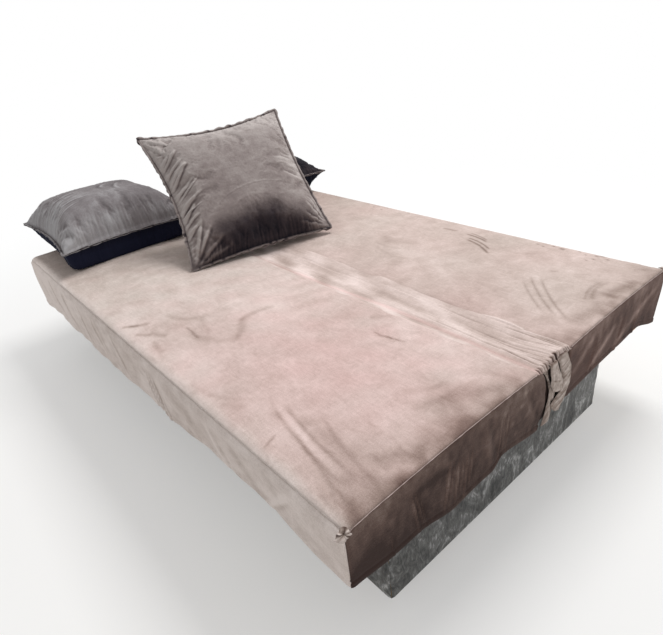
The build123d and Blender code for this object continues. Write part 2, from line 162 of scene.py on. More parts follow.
def new_object(name, points, faces, cut=None):
    """A smooth mesh object, with the flat cut as its UV map."""
    mesh = bpy.data.meshes.new(name)
    mesh.from_pydata(np.reshape(points, (-1, 3)).tolist(), [], faces)
    mesh.shade_smooth()
    if cut is not None:
        corners = np.zeros(len(mesh.loops), int)
        mesh.loops.foreach_get("vertex_index", corners)
        layer = mesh.uv_layers.new(name="cut")
        layer.data.foreach_set("uv", cut.reshape(-1, 2)[corners].astype(np.float32).ravel())
    made = bpy.data.objects.new(name, mesh)
    bpy.context.scene.collection.objects.link(made)
    return made


def stored(piece, name, values):
    """Keeps one number for each point of a piece, which its material can read."""
    attribute = piece.data.attributes.new(name, "FLOAT", "POINT")
    attribute.data.foreach_set("value", np.asarray(values, np.float32).ravel())


def cloth(name, points, turned=False, pile_and_shade=0.0, blush=0.0, thickness=cloth_thickness):
    """A panel of cloth from a grid of points, with its pile and painted shade, and its thickness."""
    rows, columns = points.shape[:2]
    across, down = row_lengths(points)
    steps = [np.linalg.norm(np.diff(points, axis=way), axis=2).mean(axis=1 - way) for way in (1, 0)]
    places = [np.concatenate([[0], np.cumsum(step)]) for step in steps]
    cut = np.stack(np.meshgrid(*places), axis=-1)
    piece = new_object(name, points, grid_faces(rows, columns, turned).tolist(), cut)
    stored(piece, "pile_and_shade", np.broadcast_to(pile_and_shade, (rows, columns)))
    stored(piece, "blush", np.broadcast_to(blush, (rows, columns)))
    solid = piece.modifiers.new("thickness", "SOLIDIFY")
    solid.thickness = thickness
    solid.offset = -1.0
    return piece, (across, down)


print("a panel's cloth is", 1000 * cloth_thickness, "mm thick")

# %% [markdown]
# ## Folds and brushed pile
#
# Real velvet shows two things: folds, which are shape, and strokes in the pile, which are colour.
# A drag fold is a low ridge with a dip beside it that fades at both ends. A stroke is the mark
# that a hand leaves, where the pile lies the other way and looks darker.
# Both are written as soft functions of the place on the cloth, so one helper serves every panel.
# Random unevenness comes from a few long waves with seeded phases, the same on every run.

# %% Helpers for folds, strokes and unevenness
# The dip beside a fold: its distance and width as shares of the fold's, and its share of the height
dip_away_share, dip_width_share, dip_depth_share = 1.5, 0.8, 0.6


def smooth_step(value, low, high):
    """0 below low, 1 above high, and a soft rise between them."""
    t = np.clip((value - low) / (high - low), 0, 1)
    return t * t * (3 - 2 * t)


def along_line(x, y, start, end):
    """How far along a line each place is, from 0 to 1, and how far beside it, in metres."""
    run = np.subtract(end, start)
    length = np.hypot(*run)
    from_x, from_y = x - start[0], y - start[1]
    return (from_x * run[0] + from_y * run[1]) / length**2, (from_x * run[1] - from_y * run[0]) / length


def drag(x, y, start, end, width, height, bow=0.0):
    """A drag fold between two places: a ridge with a narrower dip beside it."""
    along, beside = along_line(x, y, start, end)
    fade = np.sin(np.pi * np.clip(along, 0, 1)) ** 0.7
    beside = beside - bow * fade
    ridge = np.exp(-((beside / width) ** 2))
    dip = np.exp(-(((beside - dip_away_share * width) / (dip_width_share * width)) ** 2))
    return height * fade * (ridge - dip_depth_share * dip)


def tugged(x, y, folds):
    """Several drag folds at once: start, end, width, height, and bow where there is one."""
    return sum(drag(x, y, *fold) for fold in folds)


def stroke(x, y, start, end, width, strength, bow=0.0):
    """A mark in the pile between two places."""
    along, beside = along_line(x, y, start, end)
    fade = smooth_step(along, -0.05, 0.12) * (1 - smooth_step(along, 0.8, 1.05))
    beside = beside - bow * np.sin(np.pi * np.clip(along, 0, 1))
    return strength * fade * np.exp(-((beside / width) ** 2))


def waves(x, y, size, seed, count=14):
    """Soft unevenness, about from -1 to 1, with hills of one size."""
    draw = np.random.default_rng(seed)
    total = np.zeros(np.broadcast(x, y).shape)
    for _ in range(count):
        turn, phase = draw.uniform(0, 2 * np.pi, 2)
        rate = 2 * np.pi / (size * draw.uniform(0.7, 1.6))
        total += np.sin(rate * (x * np.cos(turn) + y * np.sin(turn)) + phase)
    return total / np.sqrt(count)


middle_height = drag(0.5, 0.0, (0, 0), (1, 0), 0.01, 1.0)
print(f"in its middle a fold stands at {middle_height:.2f} of its height, because of the dip beside it")

# %% [markdown]
# ## Materials in short calls
#
# A material is a tree of nodes, and joining them one by one takes many lines. A small class adds
# and joins each in one call, so that every material below can be read like a recipe.

# %% A helper that builds a material's nodes
def paint(red, green, blue):
    """A screen colour, from 0 to 255, as the linear colour that Blender mixes."""
    linear = []
    for value in (red, green, blue):
        share = value / 255
        linear.append(share / 12.92 if share <= 0.04045 else ((share + 0.055) / 1.055) ** 2.4)
    return (*linear, 1.0)


class Tree:
    """A new material's node tree, with short calls to add and join its nodes."""

    def __init__(self, name):
        self.material = bpy.data.materials.new(name)
        self.material.use_nodes = True
        self.nodes = self.material.node_tree.nodes
        self.links = self.material.node_tree.links
        self.shader = self.nodes["Principled BSDF"]

    def add(self, kind, **values):
        """A new node with its settings and inputs by name."""
        node = self.nodes.new("ShaderNode" + kind)
        for name, value in values.items():
            if name in node.bl_rna.properties:
                setattr(node, name, value)
            else:
                self.put(value, node.inputs[name.replace("_", " ").title()])
        return node

    def put(self, value, socket):
        """Joins an output to a socket, or sets a plain value."""
        if isinstance(value, bpy.types.NodeSocket):
            self.links.new(value, socket)
        else:
            socket.default_value = value

    def places(self, scale=(1, 1, 1), turn=0.0):
        """The flat cut's places, stretched and turned."""
        cut = self.add("UVMap", uv_map="cut")
        mapping = self.add("Mapping", vector_type="POINT")
        self.put(cut.outputs[0], mapping.inputs["Vector"])
        mapping.inputs["Scale"].default_value = scale
        mapping.inputs["Rotation"].default_value = (0, 0, turn)
        return mapping.outputs[0]

    def noise(self, places, scale, detail=3.0, roughness=0.5, distortion=0.0):
        """Noise at those places, with about scale cells to the metre."""
        node = self.add("TexNoise", scale=scale, detail=detail, roughness=roughness)
        node.inputs["Distortion"].default_value = distortion
        self.put(places, node.inputs["Vector"])
        return node.outputs["Fac"]

    def math(self, operation, first, second, clamp=False):
        """Two values added, multiplied and so on."""
        node = self.add("Math", operation=operation, use_clamp=clamp)
        self.put(first, node.inputs[0])
        self.put(second, node.inputs[1])
        return node.outputs[0]

    def spread(self, value, low, high, to_low, to_high, **values):
        """A value between two limits, spread between two others."""
        node = self.add("MapRange", **values)
        self.put(value, node.inputs["Value"])
        for name, limit in zip(("From Min", "From Max", "To Min", "To Max"), (low, high, to_low, to_high)):
            node.inputs[name].default_value = limit
        return node.outputs[0]

    def swing(self, value, amount):
        """A noise of mean 0.5 as a change up or down by an amount."""
        return self.math("MULTIPLY", self.math("SUBTRACT", value, 0.5), 2 * amount)

    def stored(self, name):
        """A number kept on the cloth, such as the state of its pile."""
        return self.add("Attribute", attribute_name=name, attribute_type="GEOMETRY").outputs["Fac"]

    def ramp(self, value, stops):
        """A colour from a value, by stops of place and colour."""
        node = self.add("ValToRGB")
        self.put(value, node.inputs[0])
        band = node.color_ramp
        while len(band.elements) < len(stops):
            band.elements.new(0.5)
        for element, (place, colour) in zip(band.elements, stops):
            element.position = place
            element.color = colour
        return node.outputs[0]

    def mix(self, share, first, second, blend="MIX"):
        """Two colours mixed."""
        node = self.add("Mix", data_type="RGBA", blend_type=blend)
        self.put(share, node.inputs[0])
        self.put(first, node.inputs[6])
        self.put(second, node.inputs[7])
        return node.outputs[2]

    def bump(self, height, distance, strength=1.0, under=None):
        """Small relief, on top of the relief under it."""
        node = self.add("Bump", strength=strength, distance=distance)
        self.put(height, node.inputs["Height"])
        if under is not None:
            self.put(under, node.inputs["Normal"])
        return node.outputs[0]

    def finish(self, colour, normal=None, **values):
        """The finished material, with the shader's other inputs by name."""
        self.put(colour, self.shader.inputs["Base Color"])
        if normal is not None:
            self.put(normal, self.shader.inputs["Normal"])
        for name, value in values.items():
            self.put(value, self.shader.inputs[name.replace("_", " ")])
        return self.material


print("a middle grey of 128 is", round(paint(128, 128, 128)[0], 3), "as linear colour")

# %% [markdown]
# ## Velvet
#
# Velvet's colour is the state of its pile: light where it lies away from the eye, and much darker
# where it is brushed up. A plain colour with gloss would look like plastic.
# The material reads the stored pile state, to which many pieces add painted light and shade,
# breaks its edge up with noise at several sizes, and turns it into a colour by a ramp.
# Sheen gives the bright rim of standing pile, and a fine bump the pile.
# The noise reads the flat cut, so it stays on the cloth when the sofa folds.

# %% Build the velvet material
def velvet(name, shades, tint, sheen, mottle=0.16):
    """Velvet whose colour follows its stored pile and painted shade, from the first shade to the last."""
    tree = Tree(name)
    flat = tree.places()
    brushed_places = tree.places((1.0, 5.0, 1.0), 0.5)
    crossed_places = tree.places((4.0, 1.0, 1.0), 0.9)
    # The stored number is the pile's state, with painted light and shade added on many pieces
    state = tree.stored("pile_and_shade")
    for places, scale, detail, warp, share in (
        # From broad clouds to single tufts; share is how much of the mottling each makes
        (flat, 6.0, 4.0, 0.8, 0.40),
        (flat, 26.0, 5.0, 1.4, 0.50),
        (brushed_places, 34.0, 4.0, 0.8, 0.45),
        (crossed_places, 46.0, 4.0, 0.8, 0.35),
        (flat, 420.0, 3.0, 0.0, 0.9),
    ):
        uneven = tree.noise(places, scale, detail, 0.6, warp)
        state = tree.math("ADD", state, tree.swing(uneven, mottle * share))
    state = tree.math("ADD", state, 0.0, clamp=True)
    step = 1 / (len(shades) - 1)
    colour = tree.ramp(state, [(k * step, paint(*shade)) for k, shade in enumerate(shades)])
    colour = tree.mix(tree.stored("blush"), colour, tint, "MULTIPLY")
    crumple = tree.bump(tree.noise(flat, 70.0, 5.0, 0.6, 0.6), 0.0016, 0.5)
    fine = tree.bump(tree.noise(flat, 900.0, 3.0, 0.6), 0.0006, 0.6, crumple)
    return tree.finish(
        colour, fine, Roughness=0.9, Specular_IOR_Level=0.2, Sheen_Weight=sheen, Sheen_Roughness=0.4,
        Sheen_Tint=(1.0, 0.96, 0.93, 1.0),
    )


slipcover = velvet(
    "slipcover_velvet",
    [(226, 214, 208), (188, 174, 166), (144, 129, 120), (98, 81, 74), (54, 40, 36)],
    tint=paint(255, 234, 236),
    sheen=0.05,
    mottle=0.20,
)
cushion_velvet = velvet(
    "cushion_velvet",
    [(172, 163, 159), (132, 121, 118), (92, 82, 81), (54, 46, 49), (20, 17, 25)],
    tint=paint(226, 240, 252),
    sheen=0.10,
    mottle=0.15,
)
# The cushions' undersides: painted shade, nearly black, over a darker backing cloth
cushion_shade = velvet(
    "cushion_velvet_underside",
    [(24, 27, 46), (12, 15, 34), (5, 8, 22)],
    tint=paint(230, 240, 255),
    sheen=0.0,
    mottle=0.12,
)
print("velvets:", slipcover.name, cushion_velvet.name, cushion_shade.name)

# %% [markdown]
# ## Crushed velvet, timber, foam and metal
#
# The base box wears crushed velvet: the pile is pressed flat in all directions, so it glitters in
# small silver and dark flakes. Warped noise gives the flakes, and an uneven gloss makes them catch
# light. The hidden parts get honest finishes too, because they show when the back is raised:
# sawn pine rails with grain along X, paler beech slats, board, yellowed foam, and three metals.
# Solids from CAD have no flat cut, so their grain reads the Object coordinates instead.

# %% Build the other materials
def crushed_velvet():
    """Velvet pressed flat in all directions, in silver and dark flakes."""
    tree = Tree("crushed_velvet")
    flat = tree.places()
    warp = tree.noise(tree.places((1.0, 0.45, 1.0), 0.2), 15.0, 5.0, 0.62, 1.8)
    flakes = tree.noise(tree.places((1.0, 0.4, 1.0), -0.5), 70.0, 4.0, 0.6, 2.2)
    state = tree.math("ADD", tree.math("MULTIPLY", warp, 0.6), tree.math("MULTIPLY", flakes, 0.4))
    greys = [(0.38, paint(26, 26, 26)), (0.48, paint(66, 66, 64))]
    greys += [(0.55, paint(98, 98, 97)), (0.66, paint(188, 188, 188))]
    colour = tree.ramp(state, greys)
    rough = tree.spread(state, 0.4, 0.6, 0.75, 0.4)
    pressed = tree.bump(warp, 0.004, 0.7)
    fine = tree.bump(tree.noise(flat, 900.0, 2.0, 0.5), 0.0004, 0.4, pressed)
    return tree.finish(colour, fine, Roughness=rough, Sheen_Weight=0.3, Sheen_Roughness=0.4)


def object_places(tree, scale=(1.0, 1.0, 1.0)):
    """Object coordinates, stretched."""
    mapping = tree.add("Mapping")
    tree.put(tree.add("TexCoord").outputs["Object"], mapping.inputs["Vector"])
    mapping.inputs["Scale"].default_value = scale
    return mapping.outputs[0]


def timber(name, pale, dark, along=(1.0, 14.0, 14.0)):
    """Sawn wood, with its grain along X unless the stretch says otherwise."""
    tree = Tree(name)
    grain = tree.noise(object_places(tree, along), 9.0, 6.0, 0.6, 0.8)
    pores = tree.noise(object_places(tree, along), 60.0, 3.0, 0.6)
    figure = tree.math("ADD", tree.math("MULTIPLY", grain, 0.75), tree.math("MULTIPLY", pores, 0.25))
    colour = tree.ramp(figure, [(0.35, dark), (0.5, pale), (0.68, dark)])
    return tree.finish(colour, tree.bump(figure, 0.0008, 0.5), Roughness=0.65)


def board_material():
    """Chipboard: pressed flakes, seen on the cut edges and inside the box."""
    tree = Tree("board")
    chips = tree.add("TexVoronoi", feature="F1", scale=210.0)
    tree.put(object_places(tree, (1.0, 1.0, 2.2)), chips.inputs["Vector"])
    shades = tree.noise(object_places(tree), 90.0, 3.0, 0.6)
    chip = tree.math("MULTIPLY", chips.outputs["Distance"], 0.5)
    mixed = tree.math("ADD", chip, tree.math("MULTIPLY", shades, 0.6))
    browns = [(0.2, paint(196, 168, 128)), (0.5, paint(168, 138, 99)), (0.8, paint(126, 98, 66))]
    colour = tree.ramp(mixed, browns)
    return tree.finish(colour, tree.bump(mixed, 0.0006, 0.5), Roughness=0.8)


def foam_material():
    """Upholstery foam: fine open cells, a little yellowed."""
    tree = Tree("foam")
    cells = tree.noise(object_places(tree), 420.0, 3.0, 0.7)
    tone = tree.noise(object_places(tree), 4.0, 3.0, 0.5)
    colour = tree.ramp(tone, [(0.35, paint(232, 220, 186)), (0.65, paint(218, 200, 156))])
    return tree.finish(colour, tree.bump(cells, 0.0012, 0.8), Roughness=0.95)


def metal(name, colour, dull, gloss, scratch, metallic=1.0):
    """Metal whose roughness and shade drift a little, with fine drawn lines."""
    tree = Tree(name)
    drift = tree.noise(object_places(tree), 30.0, 4.0, 0.6)
    lines = tree.noise(object_places(tree, (6.0, 90.0, 6.0)), 12.0, 3.0, 0.6)
    rough = tree.spread(drift, 0.0, 1.0, gloss, dull)
    shade = tree.ramp(drift, [(0.3, colour), (0.75, tuple(0.8 * c for c in colour[:3]) + (1.0,))])
    return tree.finish(shade, tree.bump(lines, 0.0002, scratch), Roughness=rough, Metallic=metallic)


crushed = crushed_velvet()
foam = foam_material()
finishes = {
    "frame_timber": timber("frame_timber", paint(214, 178, 128), paint(176, 132, 84)),
    "beech": timber("beech", paint(222, 188, 146), paint(196, 156, 112), (12.0, 1.0, 12.0)),
    "board": board_material(),
    "black_steel": metal("black_steel", paint(40, 40, 42), 0.55, 0.35, 0.3, 0.6),
    "zinc_steel": metal("zinc_steel", paint(186, 188, 190), 0.45, 0.25, 0.4),
    "foot_chrome": metal("foot_chrome", paint(205, 207, 210), 0.2, 0.06, 0.15),
}
slot_of = {part["node"]: part["material_slot"] for part in frame["record"]["subparts"]}
dressed = 0
for name, node in frame["nodes"].items():
    if slot_of[name] in finishes:
        node.data.materials.clear()
        node.data.materials.append(finishes[slot_of[name]])
        dressed += 1
print(dressed, "CAD nodes have their finish")

# %% [markdown]
# ## The pads' shape under the cloth
#
# Each half of the bed is a foam pad: a low crown, a soft outer edge and a face that slants back
# from the hinge. The slipcover follows it, so the cover's shape is drawn once, as a path across
# the pad from the hinge to the seam, and pulled along the bed.
# At both ends the top rounds over by a centimetre and meets the skirts at a seam.

# %% Draw the path that the top cloth follows
seam_turn = math.radians(45)


def run_along(path):
    """How far along a path each of its points is."""
    return np.concatenate([[0], np.cumsum(np.linalg.norm(np.diff(path, axis=0), axis=1))])


def evenly(path, count):
    """The same path, with its points the same distance apart."""
    along = run_along(path)
    at = np.linspace(0, along[-1], count)
    return np.stack([np.interp(at, along, path[:, k]) for k in range(path.shape[1])], axis=1)


def hinge_face(level):
    """How far a pad's slanted face is from the hinge line at a level."""
    rise = (level - hinge_z) / (top_level - hinge_z)
    return hinge_clear + (gap_half - hinge_clear) * np.clip(rise, 0, 1)


def pad_path(depth):
    """The cover's path across a pad, as distances from the hinge line and levels."""
    far = gap_half + depth
    corner_low = edge_level - hinge_round
    face = [(hinge_face(z), z) for z in np.linspace(lid_level, corner_low, 6)]
    tip = (hinge_face(edge_level), edge_level)
    start = np.array([hinge_face(corner_low), corner_low])
    end = np.array([tip[0] + hinge_round, edge_level])
    bend = np.linspace(0, 1, 12)[:, None]
    corner = (1 - bend) ** 2 * start + 2 * bend * (1 - bend) * np.array(tip) + bend**2 * end
    across = np.linspace(end[0], far - edge_round, 60)
    middle, half = (across[0] + across[-1]) / 2, (across[-1] - across[0]) / 2
    top = [(u, edge_level + crown * (1 - ((u - middle) / half) ** 2)) for u in across]
    turns = np.linspace(0, seam_turn, 10)
    edge = [
        (far - edge_round * (1 - math.sin(a)), edge_level - edge_round * (1 - math.cos(a)))
        for a in turns
    ]
    return np.vstack([face, corner[1:], top[1:], edge[1:]])


def rounding(distance, radius):
    """How far a rounded edge has dropped at a distance inside it."""
    inside = np.clip(radius - distance, 0, radius)
    return radius - np.sqrt(radius**2 - inside**2)


seam_end = bed_end - end_round * (1 - math.sin(seam_turn))
print("the seat's cover path is", len(pad_path(seat_depth)), "points long")

# %% [markdown]
# ## The top panels
#
# The top of a slipcover is one flat panel per half. It isn't quite smooth: it sinks and swells
# by a millimetre or two, and small tucks run in from the gathered corners.
# The unevenness is put into the grid's points.
# Down in the gap the back's panel is nipped in at both ends, so that it slips past the seat's
# turned-in skirts when the back goes up.

# %% Shape the top panels
gap_nip = 0.011
sunk = 0.0012
swell_height, swell_size = 0.0016, 0.35
ripple_height, ripple_size = 0.0005, 0.07
tuck_count, tuck_width, tuck_inset = 7, 0.0045, 0.006
tuck_lengths, tuck_heights = (0.05, 0.13), (0.0012, 0.0024)


def top_grid(side, rows=130, columns=400):
    """The points of a top panel. Side -1 is the seat, and 1 the back."""
    depth = halves[side][2]
    path = evenly(pad_path(depth), rows)
    x, out = np.meshgrid(np.linspace(-seam_end, seam_end, columns), path[:, 0])
    level = np.repeat(path[:, 1:], columns, axis=1) - rounding(bed_end - np.abs(x), end_round)
    if side > 0:
        in_gap = 1 - smooth_step(path[:, 1:], edge_level - 0.013, edge_level - 0.004)
        x = x - np.sign(x) * gap_nip * in_gap * smooth_step(np.abs(x), bed_end - 0.06, seam_end)
    on_top = smooth_step(level, edge_level - 0.012, edge_level)
    uneven = swell_height * waves(x, out, swell_size, 3 + side)
    uneven = uneven + ripple_height * waves(x, out, ripple_size, 11 + side)
    inside = smooth_step(bed_end - np.abs(x), 0.0, 0.06)
    inside = inside * smooth_step(gap_half + depth - out, 0.0, 0.08)
    level = level + on_top * inside * (uneven - sunk)
    return np.stack([x, hinge_y + side * out, level], axis=-1)


def corner_tucks(points, corner, seed):
    """Small folds that fan out from a gathered corner."""
    x, y = points[..., 0], points[..., 1]
    draw = np.random.default_rng(seed)
    to_middle = -np.sign(corner)
    lift = np.zeros(x.shape)
    for turn in np.linspace(math.radians(8), math.radians(82), tuck_count):
        length = draw.uniform(*tuck_lengths)
        end = corner + to_middle * length * np.array([math.cos(turn), math.sin(turn)])
        lift += drag(x, y, corner, end, tuck_width, draw.uniform(*tuck_heights))
    points[..., 2] += lift


print("a top panel swells by", 1000 * swell_height, "mm and has", tuck_count, "tucks at each corner")

# %% [markdown]
# ## The tops' brushed pile
#
# Hands, seats and cushions have brushed the pile of the tops into clouds, strokes and dots.
# Clouds come from waves, but a stroke has its own place, so the strokes are kept in tables, and
# one helper adds them up. The result is the pile's state at any place, which the panels store.

# %% Brush the tops' pile
def marked(x, y, pile_and_shade, marks):
    """The pile's state with a list of strokes added."""
    for mark in marks:
        pile_and_shade = pile_and_shade + stroke(x, y, *mark)
    return pile_and_shade


seat_marks = (
    # Strokes and smudges: start, end, width, strength, and the bow of those that aren't straight
    ((0.600, -0.518), (0.870, -0.562), 0.0045, 0.17, 0.006),
    ((0.618, -0.498), (0.875, -0.534), 0.0045, 0.17, 0.006),
    ((0.610, -0.508), (0.870, -0.548), 0.0100, -0.08, 0.006),
    ((0.670, -0.498), (0.880, -0.492), 0.0160, 0.08, 0.004),
    ((0.700, -0.535), (0.930, -0.585), 0.0050, 0.12, 0.004),
    ((0.850, -0.480), (0.915, -0.478), 0.0110, 0.10),
    ((0.300, -0.430), (0.200, -0.340), 0.0120, 0.12, 0.010),
    ((0.214, -0.360), (0.222, -0.240), 0.0100, 0.13, -0.008),
    ((0.150, -0.482), (0.290, -0.430), 0.0160, 0.10, 0.014),
    ((0.118, -0.474), (0.204, -0.480), 0.0035, 0.22),
    ((0.000, -0.480), (0.110, -0.410), 0.0100, 0.10, 0.018),
    ((0.100, -0.412), (0.206, -0.438), 0.0090, 0.09, 0.012),
    ((0.545, -0.156), (0.644, -0.140), 0.0032, 0.24, 0.003),
    ((0.560, -0.164), (0.610, -0.150), 0.0026, 0.20),
    ((0.484, -0.110), (0.530, -0.056), 0.0120, 0.09),
    ((0.690, -0.606), (0.674, -0.560), 0.0030, 0.18),
    ((-0.040, -0.602), (-0.006, -0.560), 0.0060, 0.22),
    ((-0.028, -0.586), (0.010, -0.530), 0.0080, 0.16, 0.006),
    ((0.034, -0.592), (0.080, -0.560), 0.0060, 0.20),
    ((0.060, -0.560), (0.120, -0.530), 0.0100, 0.14, 0.004),
    ((0.130, -0.616), (0.205, -0.610), 0.0045, 0.26, 0.004),
    ((0.110, -0.570), (0.190, -0.580), 0.0080, 0.12, 0.004),
    ((0.500, -0.590), (0.556, -0.560), 0.0120, 0.10),
    ((0.820, -0.330), (0.880, -0.190), 0.0200, 0.07, 0.010),
    ((0.780, -0.300), (0.830, -0.200), 0.0100, 0.06, 0.006),
    ((0.880, -0.230), (0.945, -0.080), 0.0180, 0.08, 0.006),
    ((0.850, -0.270), (0.866, -0.150), 0.0090, 0.08, 0.004),
    ((0.866, -0.480), (0.900, -0.420), 0.0140, 0.08),
    ((0.876, -0.116), (0.940, -0.100), 0.0100, 0.06),
    ((0.700, -0.465), (0.925, -0.520), 0.0050, 0.10, 0.008),
    ((0.640, -0.390), (0.900, -0.420), 0.0040, 0.05, 0.010),
    ((0.380, -0.600), (0.560, -0.520), 0.0060, 0.06, 0.020),
)
back_marks = (
    # The same on the back, with the two sets of finger strokes
    ((0.329, 0.535), (0.434, 0.503), 0.0042, 0.34, -0.006),
    ((0.334, 0.551), (0.428, 0.516), 0.0034, 0.24, -0.005),
    ((0.361, 0.491), (0.499, 0.419), 0.0044, 0.34, -0.010),
    ((0.357, 0.507), (0.480, 0.454), 0.0040, 0.30, -0.008),
    ((0.222, 0.536), (0.283, 0.545), 0.0070, 0.20),
    ((0.689, 0.312), (0.818, 0.192), 0.0040, 0.13, 0.004),
    ((0.690, 0.348), (0.854, 0.191), 0.0042, 0.16, 0.006),
    ((0.721, 0.353), (0.888, 0.190), 0.0042, 0.17, 0.008),
    ((0.090, 0.335), (0.260, 0.375), 0.0260, 0.08, 0.020),
    ((0.100, 0.300), (0.240, 0.300), 0.0060, 0.05, 0.020),
    ((0.140, 0.260), (0.340, 0.250), 0.0080, 0.05, 0.020),
    ((0.711, 0.418), (0.732, 0.431), 0.0060, 0.12),
    ((0.869, 0.310), (0.858, 0.440), 0.0050, 0.14, -0.012),
    ((0.884, 0.320), (0.872, 0.450), 0.0060, 0.12, -0.014),
    ((0.890, 0.180), (0.925, 0.300), 0.0240, 0.14, 0.006),
    ((0.910, 0.350), (0.925, 0.500), 0.0200, 0.12),
)
dots = (
    # Small dabs in the pile: place and size
    ((-0.185, 0.581), 0.004), ((-0.133, 0.573), 0.005), ((-0.123, 0.602), 0.003), ((0.000, 0.597), 0.003),
    ((0.574, 0.586), 0.006), ((0.597, 0.579), 0.005), ((0.624, 0.597), 0.005), ((0.655, 0.592), 0.008),
    ((0.708, 0.601), 0.004), ((0.734, 0.588), 0.004), ((0.766, 0.571), 0.005), ((0.763, 0.598), 0.005),
    ((0.777, 0.605), 0.008), ((0.753, 0.551), 0.004), ((0.800, 0.590), 0.005),
)


def shade_to_end(x, y, start, wander, seed):
    """The pile turning darker towards the right-hand seam, in soft clouds."""
    from_end = (bed_end - x) / (start * (1 + wander * waves(y, x, 0.22, seed)))
    return (1 - smooth_step(from_end, 0.0, 1.0)) ** 1.6


def front_tone(x):
    """The pile along the front edge, smoother towards the left-hand end."""
    return 0.10 - 0.10 * smooth_step(-x, 0.2, 0.8)


seat_base_nap, left_nap = 0.160, 0.10
wide_shade, seam_shade = 0.22, 0.26
sat_on, sat_spread = (0.58, -0.33), (0.30, 0.22)


def seat_top_pile(x, y):
    """Where the seat's pile is brushed up, and where the cloth is pinker."""
    pile_and_shade = seat_base_nap + 0.026 * waves(x, y, 0.30, 21) + 0.018 * waves(x, y, 0.08, 26)
    # The pile darkens towards the right-hand seam in clouds, but less beside the gap
    clouds = 0.8 + 0.25 * waves(x, y, 0.06, 23)
    clouds = clouds * (1 - 0.75 * smooth_step(y, -0.20, -0.06))
    pile_and_shade = pile_and_shade + wide_shade * shade_to_end(x, y, 0.20, 0.35, 22) * clouds
    pile_and_shade = pile_and_shade + seam_shade * shade_to_end(x, y, 0.060, 0.5, 27) * clouds
    pile_and_shade = pile_and_shade + 0.03 * smooth_step(x, 0.55, 0.95) * smooth_step(-y, 0.38, 0.60)
    pile_and_shade = marked(x, y, pile_and_shade, seat_marks)
    pile_and_shade = pile_and_shade + left_nap * smooth_step(-x, -0.1, 0.7)
    # It is pinkest where it is sat on, and grey at the left-hand end
    from_seat = ((x - sat_on[0]) / sat_spread[0]) ** 2 + ((y - sat_on[1]) / sat_spread[1]) ** 2
    blush = 0.42 + 0.45 * np.exp(-from_seat)
    blush = blush - 0.42 * smooth_step(-x, -0.35, 0.45) + 0.07 * waves(x, y, 0.10, 24)
    # At the front edge it turns into the skirt's tone
    to_skirt = smooth_step(-y, 0.590 - 0.004 * waves(x, y, 0.1, 29), 0.628)
    pile_and_shade = pile_and_shade * (1 - to_skirt) + front_tone(x) * to_skirt
    return pile_and_shade, np.clip(blush * (1 - to_skirt), 0, 1)


back_base_nap, back_left_nap = 0.235, 0.15
dab_strength, dab_flatness = 0.38, 0.6


def back_top_pile(x, y):
    """The same for the back: greyer, with a few strokes and dots."""
    pile_and_shade = back_base_nap + 0.024 * waves(x, y, 0.30, 31) + 0.018 * waves(x, y, 0.08, 36)
    pile_and_shade = pile_and_shade + back_left_nap * smooth_step(-x, -0.1, 0.7)
    pile_and_shade = pile_and_shade + 0.20 * shade_to_end(x, y, 0.11, 0.45, 32) * (0.8 + 0.3 * waves(x, y, 0.05, 33))
    pile_and_shade = marked(x, y, pile_and_shade, back_marks)
    for at, size in dots:
        from_dab = ((x - at[0]) / size) ** 2 + ((y - at[1]) / (dab_flatness * size)) ** 2
        pile_and_shade = pile_and_shade + dab_strength * np.exp(-from_dab)
    pinker = (1 - smooth_step(y, 0.1, 0.3)) * smooth_step(x, -0.2, 0.3)
    blush = 0.24 + 0.08 * waves(x, y, 0.3, 34) + 0.2 * pinker
    return pile_and_shade, np.clip(blush, 0, 1)


print(len(seat_marks), "marks on the seat, and", len(back_marks) + len(dots), "on the back")

# %% [markdown]
# ## Making both tops
#
# Both halves are made alike: the grid, its corner tucks, its pile, and then what the panel is
# called and which body carries it. Their seams are kept for the skirts.

# %% Make the top panels
tops = {}
for side, pile in ((-1, seat_top_pile), (1, back_top_pile)):
    name, body, depth = halves[side]
    points = top_grid(side)
    outer = hinge_y + side * (gap_half + depth - tuck_inset)
    for end in (-1, 1):
        corner_tucks(points, np.array([end * (bed_end - tuck_inset), outer]), 40 + end + side)
    pile_and_shade, blush = pile(points[..., 0], points[..., 1])
    piece, flat = cloth(name + "_top_panel", points, turned=side > 0, pile_and_shade=pile_and_shade, blush=blush)
    piece.data.materials.append(slipcover)
    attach(piece, body)
    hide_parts(name + "_cover_top")
    tops[name] = points
    print(f"{piece.name}: cut {flat[0]:.2f} by {flat[1]:.2f} m")

# %% [markdown]
# ## The skirts
#
# A skirt hangs from the seam: it finishes the rounded edge, drops straight, and ends in a hem
# that rises and falls because nobody has pulled it even. Where it is tugged it drags into folds.
# A cloth simulation would fold it anywhere; here the folds have their places, so each skirt is a
# grid from its seam to its hem, pushed out along its own normal by the folds that it has.
# Its path turns half the corner, so that two skirts meet at the corner's upright seam.

# %% Shape a skirt from its seam to its hem
hem_height, hem_thickness = 0.014, 0.0009
stitch_depth, stitch_width = 0.0012, 0.0022
lean_in = 0.004          # how far a skirt hangs back towards the base box


def corner_arc(middle, first, last, count=8):
    """Part of the rounded corner, seen from above."""
    return [
        (middle[0] + corner_round * math.cos(a), middle[1] + corner_round * math.sin(a))
        for a in np.linspace(first, last, count)
    ]


def unit(vectors):
    """The same directions, with a length of one."""
    return vectors / np.linalg.norm(vectors, axis=-1, keepdims=True)


def skirt_rows(upper=0.16, lower=0.88):
    """Rows from the seam (0) to the hem (1), closer together at both."""
    return np.concatenate(
        [np.linspace(0, upper, 9)[:-1], np.linspace(upper, lower, 24)[:-1], np.linspace(lower, 1, 7)]
    )


